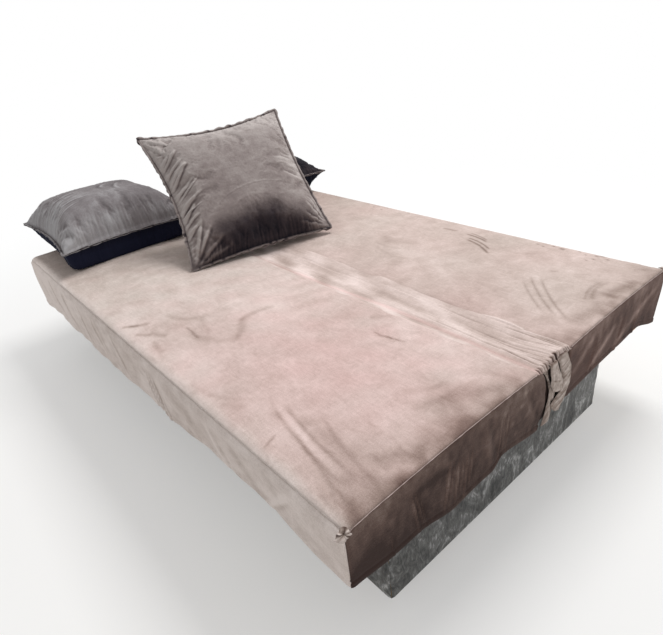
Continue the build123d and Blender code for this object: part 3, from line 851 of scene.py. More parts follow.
def skirt_grid(side, seam, outer, hem, radius, folds):
    """A skirt's points, from its seam line, its path seen from above, its hem's levels and folds.

    folds(along, drop) gives how far the cloth stands out, in metres."""
    if side > 0:
        seam, outer, hem, radius = seam[::-1], outer[::-1], hem[::-1], radius[::-1]
    rows = skirt_rows()
    run = run_along(outer)
    tangent = np.gradient(outer, axis=0)
    normal = unit(np.stack([tangent[:, 1], -tangent[:, 0]], axis=1))
    level = seam[None, :, 2] + (hem - seam[:, 2])[None, :] * rows[:, None]
    drop = seam[None, :, 2] - level
    turn = np.arccos(np.clip(math.cos(seam_turn) - drop / radius[None, :], 0, 1))
    reach = (np.sin(turn) - math.sin(seam_turn)) / (1 - math.sin(seam_turn))
    along = np.broadcast_to(run[None, :], drop.shape)
    out = folds(along, drop) * smooth_step(drop, 0.0, 0.05)
    from_hem = level - hem[None, :]
    out = out + hem_thickness * (1 - smooth_step(from_hem, hem_height - 0.004, hem_height))
    out = out - stitch_depth * np.exp(-(((from_hem - hem_height) / stitch_width) ** 2))
    plan = seam[None, :, :2] * (1 - reach[..., None]) + outer[None] * reach[..., None]
    plan = plan + out[..., None] * normal[None]
    return np.concatenate([plan, level[..., None]], axis=-1), along, drop


def eased(at, places, values):
    """Values between chosen places, joined by soft curves."""
    places, values = np.asarray(places, float), np.asarray(values, float)
    index = np.clip(np.searchsorted(places, at) - 1, 0, len(places) - 2)
    t = smooth_step(at, places[index], places[index + 1])
    return values[index] * (1 - t) + values[index + 1] * t


print("a skirt has", len(skirt_rows()), "rows, and its hem is", 1000 * hem_height, "mm high")

# %% [markdown]
# ## Hems and drag folds
#
# The front hem is pulled up most towards its right-hand end, and the drag folds run from the seam
# down to it. Those that show have their places in tables. The skirts that face away get folds
# from a seeded draw, because nothing says where theirs are.

# %% Place the hems and the folds
lean_from, lean_to = 0.03, 0.18   # the drop over which a skirt goes back to the base box
front_swell, front_ripple, right_swell, plain_swell = 0.0020, 0.0012, 0.0016, 0.0022
# The hem's places run from the left end to the right end, and its levels are above the floor
front_hem = (
    (-0.95, 0.222), (-0.62, 0.222), (-0.23, 0.236), (0.215, 0.258), (0.507, 0.290), (0.735, 0.298),
    (0.95, 0.268),
)
right_hem = (
    (-0.63, 0.266), (-0.53, 0.255), (-0.45, 0.254), (-0.33, 0.230), (-0.21, 0.236), (-0.17, 0.260),
    (-0.055, 0.234),
)
plain_hem = ((-1.0, 0.243), (-0.5, 0.236), (0.0, 0.246), (0.45, 0.238), (1.0, 0.241))


# Where each drag fold starts and ends, along the skirt and down from its seam, its width and height
front_lines = (
    ((0.140, 0.030), (0.170, 0.158), 0.0036, 0.0044),
    ((0.162, 0.040), (0.200, 0.160), 0.0036, 0.0048),
    ((0.192, 0.045), (0.232, 0.158), 0.0040, 0.0050),
    ((0.228, 0.080), (0.262, 0.162), 0.0044, 0.0036),
    ((-0.10, 0.020), (-0.02, 0.155), 0.0060, 0.0036),
    ((-0.27, 0.020), (-0.21, 0.160), 0.0060, 0.0034),
    ((-0.42, 0.020), (-0.34, 0.170), 0.0070, 0.0040),
    ((-0.58, 0.015), (-0.53, 0.165), 0.0060, 0.0034),
    ((-0.74, 0.015), (-0.66, 0.170), 0.0070, 0.0044),
    ((-0.88, 0.015), (-0.84, 0.160), 0.0060, 0.0036),
    ((0.48, 0.030), (0.56, 0.130), 0.0090, 0.0022),
    ((0.80, 0.020), (0.70, 0.120), 0.0080, 0.0024),
)
right_lines = (
    ((-0.473, 0.030), (-0.446, 0.165), 0.0030, 0.0050),
    ((-0.462, 0.035), (-0.434, 0.150), 0.0022, 0.0036),
    ((-0.446, 0.070), (-0.424, 0.170), 0.0026, 0.0034),
    ((-0.356, 0.040), (-0.372, 0.180), 0.0030, 0.0046),
    ((-0.344, 0.060), (-0.354, 0.150), 0.0020, 0.0026),
    ((-0.328, 0.050), (-0.338, 0.185), 0.0028, 0.0044),
    ((-0.312, 0.060), (-0.318, 0.170), 0.0020, 0.0028),
    ((-0.300, 0.060), (-0.307, 0.185), 0.0028, 0.0040),
    ((-0.284, 0.050), (-0.290, 0.170), 0.0026, 0.0034),
    ((-0.190, 0.020), (-0.188, 0.165), 0.0020, 0.0030),
    ((-0.178, 0.025), (-0.174, 0.150), 0.0016, 0.0022),
    ((-0.166, 0.020), (-0.160, 0.165), 0.0020, 0.0030),
    ((-0.524, 0.100), (-0.520, 0.165), 0.0024, 0.0030),
    ((-0.100, 0.030), (-0.040, 0.150), 0.0100, 0.0030),
    ((-0.250, 0.020), (-0.210, 0.160), 0.0120, 0.0024),
)


def front_folds(along, drop):
    """The front skirt's folds, with finer waves towards the hem."""
    x = along - bed_end
    out = -lean_in * smooth_step(drop, lean_from, lean_to)
    out = out + front_swell * waves(x, drop * 0.4, 0.30, 51)
    out = out + front_ripple * waves(x, drop * 0.5, 0.09, 52) * smooth_step(drop, 0.02, 0.12)
    return out + tugged(x, drop, front_lines)


def right_folds(along, drop):
    """The folds of the seat's right-hand skirt."""
    y = along - gap_half - seat_depth + hinge_y
    out = -lean_in * smooth_step(drop, lean_from, lean_to)
    return out + right_swell * waves(y, drop * 0.4, 0.2, 53) + tugged(y, drop, right_lines)


def plain_folds(seed, first=0.12, spacing=0.17):
    """The folds of a skirt that faces away, drawn from a seed."""

    def folds(along, drop):
        """How far the cloth stands out."""
        draw = np.random.default_rng(seed)
        out = -lean_in * smooth_step(drop, lean_from, lean_to)
        out = out + plain_swell * waves(along, drop * 0.4, 0.25, seed)
        for at in np.arange(first, along.max(), spacing):
            start = (at + draw.uniform(-0.05, 0.05), draw.uniform(0.01, 0.05))
            end = (start[0] + draw.uniform(-0.05, 0.05), draw.uniform(0.13, 0.19))
            out = out + drag(along, drop, start, end, draw.uniform(0.004, 0.009), draw.uniform(0.002, 0.004))
        return out

    return folds


print(len(front_lines), "folds in front, and", len(right_lines), "at the right-hand end")

# %% [markdown]
# ## The long skirts
#
# The front skirt belongs to the seat and the rear skirt to the back. Along both, the edge of the
# top is rounder than at the ends, so the skirt starts with a wider bend there.


def dress_skirt(name, body, node, grid, turned, pile_and_shade, blush=0.0):
    """A skirt panel from its grid, hung on its body."""
    piece, flat = cloth(name, grid, turned, pile_and_shade, blush)
    piece.data.materials.append(slipcover)
    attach(piece, body)
    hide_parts(node)
    print(f"{name}: cut {flat[0]:.2f} by {flat[1]:.2f} m")


def long_skirt(side, hem, folds, columns=420):
    """The skirt along the seat's front (side -1) or the back's rear (side 1), from left to right."""
    name, _, depth = halves[side]
    edge = hinge_y + side * (gap_half + depth)
    middle_y = edge - side * corner_round
    right = corner_arc((bed_end - corner_round, middle_y), side * math.pi / 2, side * math.pi / 4)
    left = [(-x, y) for x, y in reversed(right)]
    outer = evenly(np.array(left + right), columns)
    seam = evenly(tops[name][-1], columns)
    near_end = smooth_step(bed_end - np.abs(seam[:, 0]), 0.0, 0.05)
    radius = end_round + (edge_round - end_round) * near_end
    levels = eased(outer[:, 0], *zip(*hem))
    return skirt_grid(side, seam, outer, levels, radius, folds)


fold_painted_shading = 60.0          # ridge painted lighter and dip darker, for each metre of a fold's height
grid, _, drop = long_skirt(-1, front_hem, front_folds)
x = grid[..., 0]
front_pile_and_shade = front_tone(x) + 0.03 * waves(x, drop, 0.16, 61) + 0.025 * waves(x, drop, 0.05, 62)
front_marks = (
    ((0.28, 0.02), (0.46, 0.10), 0.030, 0.08),
    ((0.58, 0.03), (0.70, 0.12), 0.016, 0.12),
    ((-0.22, 0.02), (-0.17, 0.12), 0.012, 0.10),
    ((-0.56, 0.02), (-0.54, 0.14), 0.012, 0.08),
    ((0.13, 0.03), (0.16, 0.14), 0.006, 0.12),
    ((0.20, 0.04), (0.24, 0.16), 0.006, 0.14),
    ((0.36, 0.10), (0.42, 0.16), 0.012, 0.12),
)
# Painted light and shade on the folds: their ridges lighter, their dips darker
front_pile_and_shade = marked(x, drop, front_pile_and_shade, front_marks) - fold_painted_shading * tugged(x, drop, front_lines)
dress_skirt("seat_front_skirt", "base", "seat_cover_front", grid, True, front_pile_and_shade)

rear_hem = [(bed_end * place, level) for place, level in plain_hem]
grid, along, drop = long_skirt(1, rear_hem, plain_folds(54))
rear_nap = 0.20 + 0.05 * waves(along, drop, 0.2, 63)
dress_skirt("back_rear_skirt", "back", "back_cover_rear", grid, True, rear_nap, 0.1)

# %% [markdown]
# ## The skirts at the ends
#
# At the right-hand end the same velvet is painted dark brown: partly pile that hangs the other way,
# and partly painted shade, because that end faces away from the light. The seat's skirt runs from
# the front corner to the gap, follows the slant of the pad's end and turns in, which leaves the black
# line beside the gathered cloth in the gap, where the lining behind is painted near black as shade.
# The left-hand end is a mirror of the right, with folds of its own.

# %% Make the end skirts
turn_in = 0.013          # how far the seat's skirt turns in beside the gap
turn_in_round = 0.005
# The seat skirt's edge beside the gap, from its seam (0) to its hem (1)
seat_edge_share = (0.0, 0.06, 0.16, 0.36, 0.52, 0.66, 0.82, 1.0)
seat_edge_from_hinge = (-0.066, -0.048, -0.034, -0.021, -0.017, -0.023, -0.031, -0.038)


def end_skirt(side, hem, folds, columns=170):
    """The skirt at the right-hand end of the seat (side -1) or the back (side 1)."""
    name, _, depth = halves[side]
    edge = hinge_y + side * (gap_half + depth)
    middle = (bed_end - corner_round, edge - side * corner_round)
    arc = corner_arc(middle, side * math.pi / 4, 0.0)
    hinge_edge = hinge_y + side * gap_half
    bend_start = hinge_edge + side * turn_in_round
    straight = [(bed_end, y) for y in np.linspace(arc[-1][1], bend_start, 60)]
    bend = [
        (bed_end - turn_in_round * (1 - math.cos(a)), bend_start - side * turn_in_round * math.sin(a))
        for a in np.linspace(0, math.pi / 2, 6)
    ]
    inward = [(bed_end - turn_in, hinge_edge)]
    outer = evenly(np.array(arc + straight[1:] + bend[1:] + inward), columns)
    seam_line = tops[name][::-1, -1]
    on_top = np.abs(seam_line[:, 1] - hinge_y) > gap_half + hinge_round * 0.6
    seam = evenly(seam_line[on_top], columns)
    fading = smooth_step(np.abs(outer[:, 1] - edge), 0.0, 0.05)
    radius = np.full(columns, end_round) + 0.002 * (1 - fading)
    levels = eased(outer[:, 1], *zip(*hem))
    return skirt_grid(side, seam, outer, levels, radius, folds)


def follow_gap(grid, drop, stretch=0.11):
    """Leans the seat skirt's last stretch over to the slanted edge of the gap."""
    share = drop / drop.max(axis=0)[None, :]
    wanted = hinge_y + np.interp(share, seat_edge_share, seat_edge_from_hinge)
    edge = hinge_y - gap_half
    weight = smooth_step(grid[..., 1], edge - stretch, edge)
    grid[..., 1] += (wanted - edge) * weight


def end_pile_and_shade(y, drop, seed):
    """The pile of an end with painted shade: dark, painted lighter just under the seam, darker to the hem."""
    pile_and_shade = 0.92 + 0.05 * waves(y, drop, 0.14, seed) + 0.03 * waves(y * 2, drop, 0.05, seed + 1)
    return pile_and_shade - 0.12 * (1 - smooth_step(drop, 0.0, 0.05)) + 0.10 * smooth_step(drop, 0.08, 0.16)


def flipped_x(grid):
    """The same grid at the left-hand end."""
    return grid * np.array([-1.0, 1.0, 1.0])


grid, _, drop = end_skirt(-1, right_hem, right_folds)
follow_gap(grid, drop)
y = grid[..., 1]
pile_and_shade = end_pile_and_shade(y, drop, 71)
# Small dabs near the gap, where a finger has smoothed the pile
dabs = (
    (-0.116, 0.050), (-0.130, 0.120), (-0.184, 0.030), (-0.105, 0.020), (-0.150, 0.080), (-0.090, 0.090),
)
dab_run, dab_width, dab_light = (0.014, 0.010), 0.007, 0.16
for at in dabs:
    pile_and_shade = pile_and_shade - stroke(y, drop, at, np.add(at, dab_run), dab_width, dab_light)
pile_and_shade = pile_and_shade - 0.08 * smooth_step(y, -0.30, -0.08) - 0.05
pile_and_shade = pile_and_shade + 0.14 * (1 - smooth_step(y, -0.50, -0.34)) * smooth_step(drop, 0.06, 0.14)
right_marks = (
    ((-0.480, 0.045), (-0.315, 0.065), 0.010, 0.10),
    ((-0.400, 0.020), (-0.340, 0.060), 0.012, -0.10),
    ((-0.560, 0.030), (-0.520, 0.070), 0.014, -0.10),
)
# Painted light and shade on the folds: their ridges lighter, their dips darker
pile_and_shade = marked(y, drop, pile_and_shade, right_marks) - 0.8 * fold_painted_shading * tugged(y, drop, right_lines)
dress_skirt("seat_right_skirt", "base", "seat_cover_right", grid, True, pile_and_shade, 0.25)

# The back's own end skirt is a little lighter, with three long light strokes
far_hem = ((0.09, 0.262), (0.115, 0.255), (0.27, 0.272), (0.48, 0.276), (0.63, 0.240))
grid, _, drop = end_skirt(1, far_hem, plain_folds(55))
y = grid[..., 1]
pile_and_shade = end_pile_and_shade(y, drop, 73) - 0.14
far_marks = (
    ((0.20, 0.13), (0.34, 0.05), 0.012, -0.26),
    ((0.34, 0.13), (0.60, 0.03), 0.012, -0.22),
    ((0.12, 0.10), (0.22, 0.02), 0.012, -0.18),
)
pile_and_shade = marked(y, drop, pile_and_shade, far_marks)
dress_skirt("back_right_skirt", "back", "back_cover_right", grid, True, pile_and_shade, 0.6)

# At the left-hand end the pile is set lighter, without the right-hand end's painted shade
left_lighter = 0.6
left_hem = [(-0.63, 0.228), (-0.4, 0.236), (-0.2, 0.228), (-0.05, 0.236)]
left_rear_hem = [(0.09, 0.24), (0.3, 0.232), (0.5, 0.242), (0.63, 0.243)]
print("the seat's end skirts turn in by", 1000 * turn_in, "mm")
for side, hem, seed in ((-1, left_hem, 56), (1, left_rear_hem, 57)):
    name, body, _ = halves[side]
    grid, _, drop = end_skirt(side, hem, plain_folds(seed))
    if side < 0:
        follow_gap(grid, drop)
    pile_and_shade = end_pile_and_shade(grid[..., 1], drop, 76 + side) - left_lighter
    dress_skirt(f"{name}_left_skirt", body, f"{name}_cover_left", flipped_x(grid), False, pile_and_shade)

# %% [markdown]
# ## Seams
#
# Where the top meets the skirts, the two cloths are sewn and turned, which leaves a thin welt
# along the ends, whose pile is set light and pink as a painted highlight. Along the front and the
# rear the cloth runs on softly, so there is none.
# A welt could be cut into the grids, but a thin tube along the seam line is cleaner and can have
# its own slight waver. It is made of rings of points, one for each point of the line.

# %% Sew the welts
welt_radius, welt_waver, welt_seed = 0.0012, 0.0002, 81
# The welt's pile is set light and pink: a painted highlight along the seam
welt_highlight_pile, welt_blush = 0.08, 0.5


def welt(name, line, body, around=8):
    """A thin sewn welt along a line of points."""
    run = np.arange(len(line)) * 0.01
    line = line + welt_waver * np.stack([waves(run, 0.0, 0.09, welt_seed + k) for k in range(3)], axis=1)
    tangent = unit(np.gradient(line, axis=0))
    side = unit(np.cross(tangent, (0.0, 0.0, 1.0)))
    lift = np.cross(side, tangent)
    thick = welt_radius * (1 + 0.08 * waves(run, 0.0, 0.03, welt_seed + 5))
    turns = np.linspace(0, 2 * math.pi, around + 1)[:-1]
    ring = np.cos(turns)[None, :, None] * side[:, None] + np.sin(turns)[None, :, None] * lift[:, None]
    points = line[:, None] + thick[:, None, None] * ring
    index = np.arange(len(line) * around).reshape(-1, around)
    after = np.roll(index, -1, axis=1)
    faces = np.stack([index[:-1], after[:-1], after[1:], index[1:]], axis=-1).reshape(-1, 4).tolist()
    faces += [index[0][::-1].tolist(), index[-1].tolist()]
    cut = np.stack(np.meshgrid(np.arange(around) * 0.002, np.arange(len(line)) * 0.005), axis=-1)
    made = new_object(name, points, faces, cut)
    stored(made, "pile_and_shade", np.full(index.size, welt_highlight_pile))
    stored(made, "blush", np.full(index.size, welt_blush))
    made.data.materials.append(slipcover)
    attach(made, body)


for side in (-1, 1):
    name, body, _ = halves[side]
    for end, line in (("right", tops[name][:, -1]), ("left", tops[name][:, 0])):
        on_top = np.abs(line[:, 1] - hinge_y) > gap_half + 0.004
        welt(f"{name}_{end}_welt", evenly(line[on_top], 220), body)
print("four welts sewn,", 2000 * welt_radius, "mm thick")

# %% [markdown]
# ## The band across the hinge
#
# Between the halves the slipcover runs on as one loose band, so that the back can fold up. It
# sags a centimetre into the gap and is pulled lengthwise, so it is full of long, thin creases
# that draw together towards each end, where the surplus is gathered.

# %% Make the hinge band
band_near = -0.070
band_far = 0.112
puff_pitch, puff_height = 0.0116, 0.0034
gather_start, gather_end = 0.80, 0.944
# The band's drop below the pads' edge level, across the gap from the seat to the back
band_places = (band_near, -0.058, -0.046, -0.034, -0.015, 0.020, 0.050, 0.070, 0.086, 0.098, band_far)
band_drops = (
    0.0020, 0.0006, 0.0024, 0.0050, 0.0072, 0.0085, 0.0066, 0.0034, 0.0012, 0.0004, 0.0020,
)
# How far its gathered ends stand over that, across the gap
arch_places = (-0.050, -0.039, -0.016, 0.012, 0.036, 0.052, 0.074, 0.090, 0.100)
arch_heights = (0.0, 0.0015, 0.0070, 0.0120, 0.0150, 0.0125, 0.0050, 0.0010, 0.0)


def band_level(y):
    """The band's level across the gap, before its creases."""
    return edge_level - eased(y, band_places, band_drops)


def gather_arch(x, y):
    """How far the gathered ends of the band stand over its level."""
    height = eased(np.clip(y, arch_places[0], arch_places[-1]), arch_places, arch_heights)
    return height * smooth_step(np.abs(x), gather_start, gather_end) ** 1.5


def gather_puffs(y):
    """The little puffs between the stitches of the gathered end."""
    turn = 2 * math.pi * (y - band_near) / puff_pitch
    turn = turn + 3.6 * waves(y, 0.0, 0.045, 98) + waves(y, 0.0, 0.015, 99)
    return puff_height * np.clip(0.75 + 0.5 * waves(y, 0.0, 0.030, 100), 0.25, 1.0) * np.sin(turn)


end_creases = (
    # Start, end, width, height and bow; a negative height is a groove
    ((0.560, 0.004), (0.900, -0.0100), 0.0026, -0.0016, 0.004),
    ((0.820, -0.0033), (0.944, -0.0235), 0.0026, -0.0034, 0.003),
    ((0.820, 0.090), (0.948, 0.0966), 0.0034, -0.0052, -0.003),
    ((0.860, 0.080), (0.945, 0.0740), 0.0026, -0.0026, -0.004),
    ((0.780, 0.074), (0.949, 0.0679), 0.0024, -0.0028, -0.005),
    ((0.800, 0.052), (0.946, 0.0445), 0.0022, -0.0024, -0.003),
    ((0.700, 0.030), (0.940, 0.0240), 0.0020, -0.0014, 0.004),
    ((0.790, 0.018), (0.940, 0.0077), 0.0022, -0.0022, 0.003),
    ((0.870, 0.058), (0.946, 0.0600), 0.0020, -0.0022, 0.002),
    ((0.890, -0.004), (0.947, -0.0040), 0.0022, -0.0020, 0.002),
    ((0.700, 0.092), (0.860, 0.0860), 0.0030, 0.0018, -0.004),
)


crease_count, crease_from, crease_to = 15, -0.030, 0.082
drawn_middle, drawn_share = 0.022, 0.62


def band_creases(x, y):
    """Long thin creases that draw together towards the ends."""
    draw = np.random.default_rng(91)
    out = np.zeros(x.shape)
    to_end = smooth_step(np.abs(x), 0.35, 0.94)
    for k, across in enumerate(np.linspace(crease_from, crease_to, crease_count)):
        across = across + draw.uniform(-0.004, 0.004)
        drawn = drawn_middle + (across - drawn_middle) * drawn_share
        line = across + (drawn - across) * to_end + 0.0045 * waves(x, 0.0, 0.4, 900 + k)
        beside = y - line
        width = draw.uniform(0.0014, 0.0030)
        strength = draw.uniform(0.00012, 0.00036) + 0.0009 * to_end * draw.uniform(0.0, 1.0) ** 4
        strength = strength * np.clip(0.7 + 0.7 * waves(x, 0.3, 0.22, 950 + k), 0.0, 2)
        groove = np.exp(-(((beside - 1.6 * width) / width) ** 2))
        out += strength * (np.exp(-((beside / width) ** 2)) - 0.7 * groove)
    for start, end, width, height, bow in end_creases:
        out += drag(x, y, start, end, width, height, bow)
        out += drag(-x, y, np.subtract(start, (0.03, 0)), end, width, height, bow)
    return out


def band_grid(rows=110, finer_from=0.78):
    """The band's points, in finer columns near both ends, whose edges fold down."""
    near_end = np.linspace(finer_from, bed_end - 0.001, 110)
    span = np.concatenate([-near_end[::-1], np.linspace(-finer_from, finer_from, 320)[1:-1], near_end])
    x, y = np.meshgrid(span, np.linspace(band_near, band_far, rows))
    level = band_level(y)
    in_band = smooth_step(y, band_near, band_near + 0.016) * (1 - smooth_step(y, band_far - 0.018, band_far))
    level = level + in_band * (band_creases(x, y) + 0.0010 * waves(x, y * 3, 0.16, 96))
    in_gap = smooth_step(y, hinge_y - gap_half - 0.006, hinge_y - gap_half + 0.010)
    in_gap = in_gap * (1 - smooth_step(y, hinge_y + gap_half - 0.010, hinge_y + gap_half + 0.010))
    level = level + smooth_step(np.abs(x), 0.928, gather_end) * in_gap * gather_puffs(y)
    arch = gather_arch(x, y)
    folded_down = (1 - smooth_step(bed_end - np.abs(x), 0.001, 0.009)) * (0.9 * arch + 0.0050)
    return np.stack([x, y, level + arch - folded_down], axis=-1)


# The painted highlight along the seat's edge of the band, from the middle to the right-hand end
ridge_run = (0.0, 0.24, 0.41, 0.57, 0.74, 0.95)
ridge_places = (-0.046, -0.040, -0.028, -0.024, -0.030, -0.044)
points = band_grid()
x, y = points[..., 0], points[..., 1]
hollow_shade, ridge_width, ridge_highlight_gain = 90.0, 0.010, 0.05
hollow = band_level(y) + gather_arch(x, y) - points[..., 2]
pile_and_shade = 0.175 + 0.02 * waves(x, y * 4, 0.12, 97)
pile_and_shade = pile_and_shade + hollow_shade * np.clip(hollow, -0.0015, 0.005) * (np.abs(x) < 0.940)
pile_and_shade = pile_and_shade + 0.10 * smooth_step(-x, 0.0, 0.7) + 0.05 * smooth_step(x, 0.55, 0.93)
# Painted shade: the dips between the stitched puffs at the ends are painted dark
at_stitches = smooth_step(np.abs(x), 0.932, 0.942) * smooth_step(0.105 - y, 0.0, 0.02)
pile_and_shade = pile_and_shade + 0.80 * at_stitches * np.clip(-gather_puffs(y) / 0.0026, 0, 1) ** 2
from_ridge = y - np.interp(x, ridge_run, ridge_places)
# Painted highlight: a light, pinker line along the seat's edge of the band
ridge_highlight = np.exp(-((from_ridge / ridge_width) ** 2)) * smooth_step(x, -0.5, 0.2)
pile_and_shade = pile_and_shade - ridge_highlight_gain * ridge_highlight
blush = np.clip(0.30 + 0.5 * ridge_highlight - 0.2 * smooth_step(-x, 0.0, 0.6), 0, 1)
band, flat = cloth("hinge_band_cloth", points, pile_and_shade=pile_and_shade, blush=blush)
band.data.materials.append(slipcover)
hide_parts("hinge_band")
held = 0.012             # the band's edges lie still on the pads over this width
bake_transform(band, "base", "back", start=(0, band_near + held, top_level), end=(0, band_far - held, top_level))
print(f"hinge band: cut {flat[0]:.2f} by {flat[1]:.2f} m")

# %% [markdown]
# ## The gathered cloth at the ends of the gap
#
# At each end the gap is closed by the band's surplus cloth, which hangs down in strips: a lining
# right inside, a strip along the seat, a wider ribbon in the middle and one that laps the back.
# Dark slits show between them, where the lining behind is painted near black as shade.
# One rippled sheet can't make a slit, so each strip is its own sheet, drawn by its left and right
# edges and lying a few millimetres over the last one.
# The top of a strip curls over on to the band, which makes the little knot of folds there.

# %% Make the gathered strips
strip_width, strip_length = 0.05, 0.18   # about, and only for the scale of the unevenness


def strip_grid(left, right, layer, bulge, curl, folds, seed, rows=110, columns=36):
    """A strip between two edges drawn from top to bottom, as (y, z) points.

    Its top curls over by a quarter turn, and then tucks in behind."""
    left, right = evenly(np.array(left), rows), evenly(np.array(right), rows)
    across, down = np.meshgrid(np.linspace(0, 1, columns), np.linspace(0, 1, rows))
    middle = left[:, None] * (1 - across[..., None]) + right[:, None] * across[..., None]
    x = layer + bulge * (1 - np.abs(2 * across - 1) ** 5)
    x = x + tugged(across, down, folds)
    x = x + 0.0005 * waves(across * strip_width, down * strip_length, 0.045, seed)
    x = x + 0.0001 * waves(across * strip_width, down * strip_length, 0.011, seed + 40)
    hanging = np.concatenate([x[..., None], middle], axis=-1)
    over = np.linspace(math.pi / 2, 0, 10)[:-1]
    back, up = -curl * (1 - np.cos(over)), 0.8 * curl * np.sin(over)
    curled = hanging[:1] + np.stack([back, 0 * over, up], axis=-1)[:, None]
    tucked = curled[:1] - (0.005, 0.0, 0.004)
    return np.concatenate([tucked, curled, hanging])


# Edges are (y, z) points, layer is how far out a strip lies, and folds run over shares of it
strips = {
    # The lining is painted as dark as the velvet goes: painted shade for the slits between the strips
    "lining": dict(
        left=[(-0.046, 0.400), (-0.030, 0.36), (-0.024, 0.30), (-0.040, 0.246)],
        right=[(0.086, 0.400), (0.102, 0.34), (0.096, 0.28), (0.064, 0.243)],
        layer=0.9365, bulge=0.001, curl=0.004, pile_and_shade=1.30,
        folds=[((0.2, 0.0), (0.3, 1.0), 0.05, 0.003), ((0.7, 0.0), (0.6, 1.0), 0.05, 0.003)],
    ),
    "seat_strip": dict(
        left=[
            (-0.031, 0.405), (-0.008, 0.383), (0.0110, 0.3505), (0.0205, 0.3213), (0.0200, 0.298),
            (0.014, 0.269), (0.000, 0.227),
        ],
        right=[
            (0.003, 0.404), (0.006, 0.380), (0.018, 0.3488), (0.032, 0.3258), (0.050, 0.3055),
            (0.048, 0.270), (0.036, 0.229),
        ],
        layer=0.9420, bulge=0.0018, curl=0.005, pile_and_shade=0.16,
        folds=[
            ((0.30, 0.05), (0.45, 0.55), 0.10, 0.0014), ((0.15, 0.60), (0.80, 0.98), 0.04, 0.0016),
            ((0.50, 0.55), (0.95, 0.80), 0.04, 0.0012),
        ],
    ),
    "back_strip": dict(
        left=[
            (0.034, 0.409), (0.054, 0.367), (0.068, 0.336), (0.070, 0.318), (0.062, 0.300), (0.044, 0.291),
            (0.024, 0.2816), (0.034, 0.262), (0.046, 0.250),
        ],
        right=[
            (0.078, 0.406), (0.094, 0.379), (0.108, 0.353), (0.113, 0.3275), (0.110, 0.302), (0.099, 0.281),
            (0.087, 0.256), (0.066, 0.244),
        ],
        layer=0.9475, bulge=0.0024, curl=0.006, pile_and_shade=0.20,
        folds=[
            ((0.02, 0.22), (0.95, 0.16), 0.014, 0.0014), ((0.02, 0.33), (0.95, 0.25), 0.012, 0.0018),
            ((0.05, 0.44), (0.80, 0.40), 0.012, 0.0018), ((0.30, 0.52), (1.0, 0.45), 0.014, 0.0012),
            ((0.10, 0.84), (0.95, 0.66), 0.018, 0.0020), ((0.20, 0.96), (0.95, 0.84), 0.020, 0.0016),
        ],
    ),
    "ribbon": dict(
        left=[
            (-0.004, 0.407), (-0.003, 0.394), (0.0047, 0.368), (0.006, 0.348), (0.016, 0.333), (0.032, 0.317),
        ],
        right=[
            (0.026, 0.404), (0.0365, 0.3825), (0.0525, 0.3547), (0.0648, 0.3282), (0.069, 0.312),
        ],
        layer=0.9525, bulge=0.0022, curl=0.006, pile_and_shade=0.11,
        folds=[
            ((0.30, 0.02), (0.24, 0.55), 0.06, 0.0014), ((0.66, 0.02), (0.62, 0.40), 0.05, 0.0016),
            ((0.45, 0.0), (0.48, 0.30), 0.05, 0.0016), ((0.08, 0.45), (0.92, 0.72), 0.03, -0.0010),
        ],
    ),
}
for end, flip in (("right", 1.0), ("left", -1.0)):
    for count, (part, form) in enumerate(strips.items()):
        shape = [form[value] for value in ("left", "right", "layer", "bulge", "curl", "folds")]
        points = strip_grid(*shape, 400 + count)
        # Painted light and shade: proud places are painted light, and the valleys, the undersides
        # and the lower ends are painted dark
        proud = (points[..., 0] - form["layer"]) / max(form["bulge"], 0.0026)
        edge = np.abs(np.linspace(-1, 1, points.shape[1])) ** 6
        pile_and_shade = form["pile_and_shade"] + 0.22 + 0.40 * (0.75 - np.clip(proud, -0.2, 1.4)) * (1 - edge)[None, :]
        pile_and_shade = pile_and_shade + 0.06 * waves(points[..., 1], points[..., 2], 0.013, 410 + count)
        pile_and_shade = pile_and_shade + 0.08 * smooth_step(0.265 - points[..., 2], -0.01, 0.03)
        piece, flat = cloth(f"gusset_{end}_{part}", points * (flip, 1, 1), turned=flip > 0, pile_and_shade=pile_and_shade)
        piece.data.materials.append(slipcover)
        if part == "ribbon":
            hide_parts(f"gusset_{end}")
        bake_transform(piece, "base", "back", start=(0, band_near, 0.3), end=(0, band_far, 0.3))
        print(f"{piece.name}: cut {flat[0]:.3f} by {flat[1]:.3f} m")

# %% [markdown]
# ## The gathered corners
#
# At the right-hand end's outer corners the seam's thread is pulled tight, and its surplus stands
# out as a little crumpled knot with dark slits in it, painted dark in its valleys and middle as shade.
# It could be sculpted; here it is one narrow strip wound just over one turn, whose inner edge is
# drawn together and whose outer edge is too long for its circle, so that it ruffles.

# %% Make the corner knots
knot_size, knot_turns, knot_loops = 0.0110, 2.12 * math.pi, 3
knot_hub, knot_dome, knot_ruffle, knot_droop = 0.0012, 0.0046, 0.0040, 0.0048
knot_inset, knot_drop = 0.0065, 0.0085
knot_thickness = 0.0008


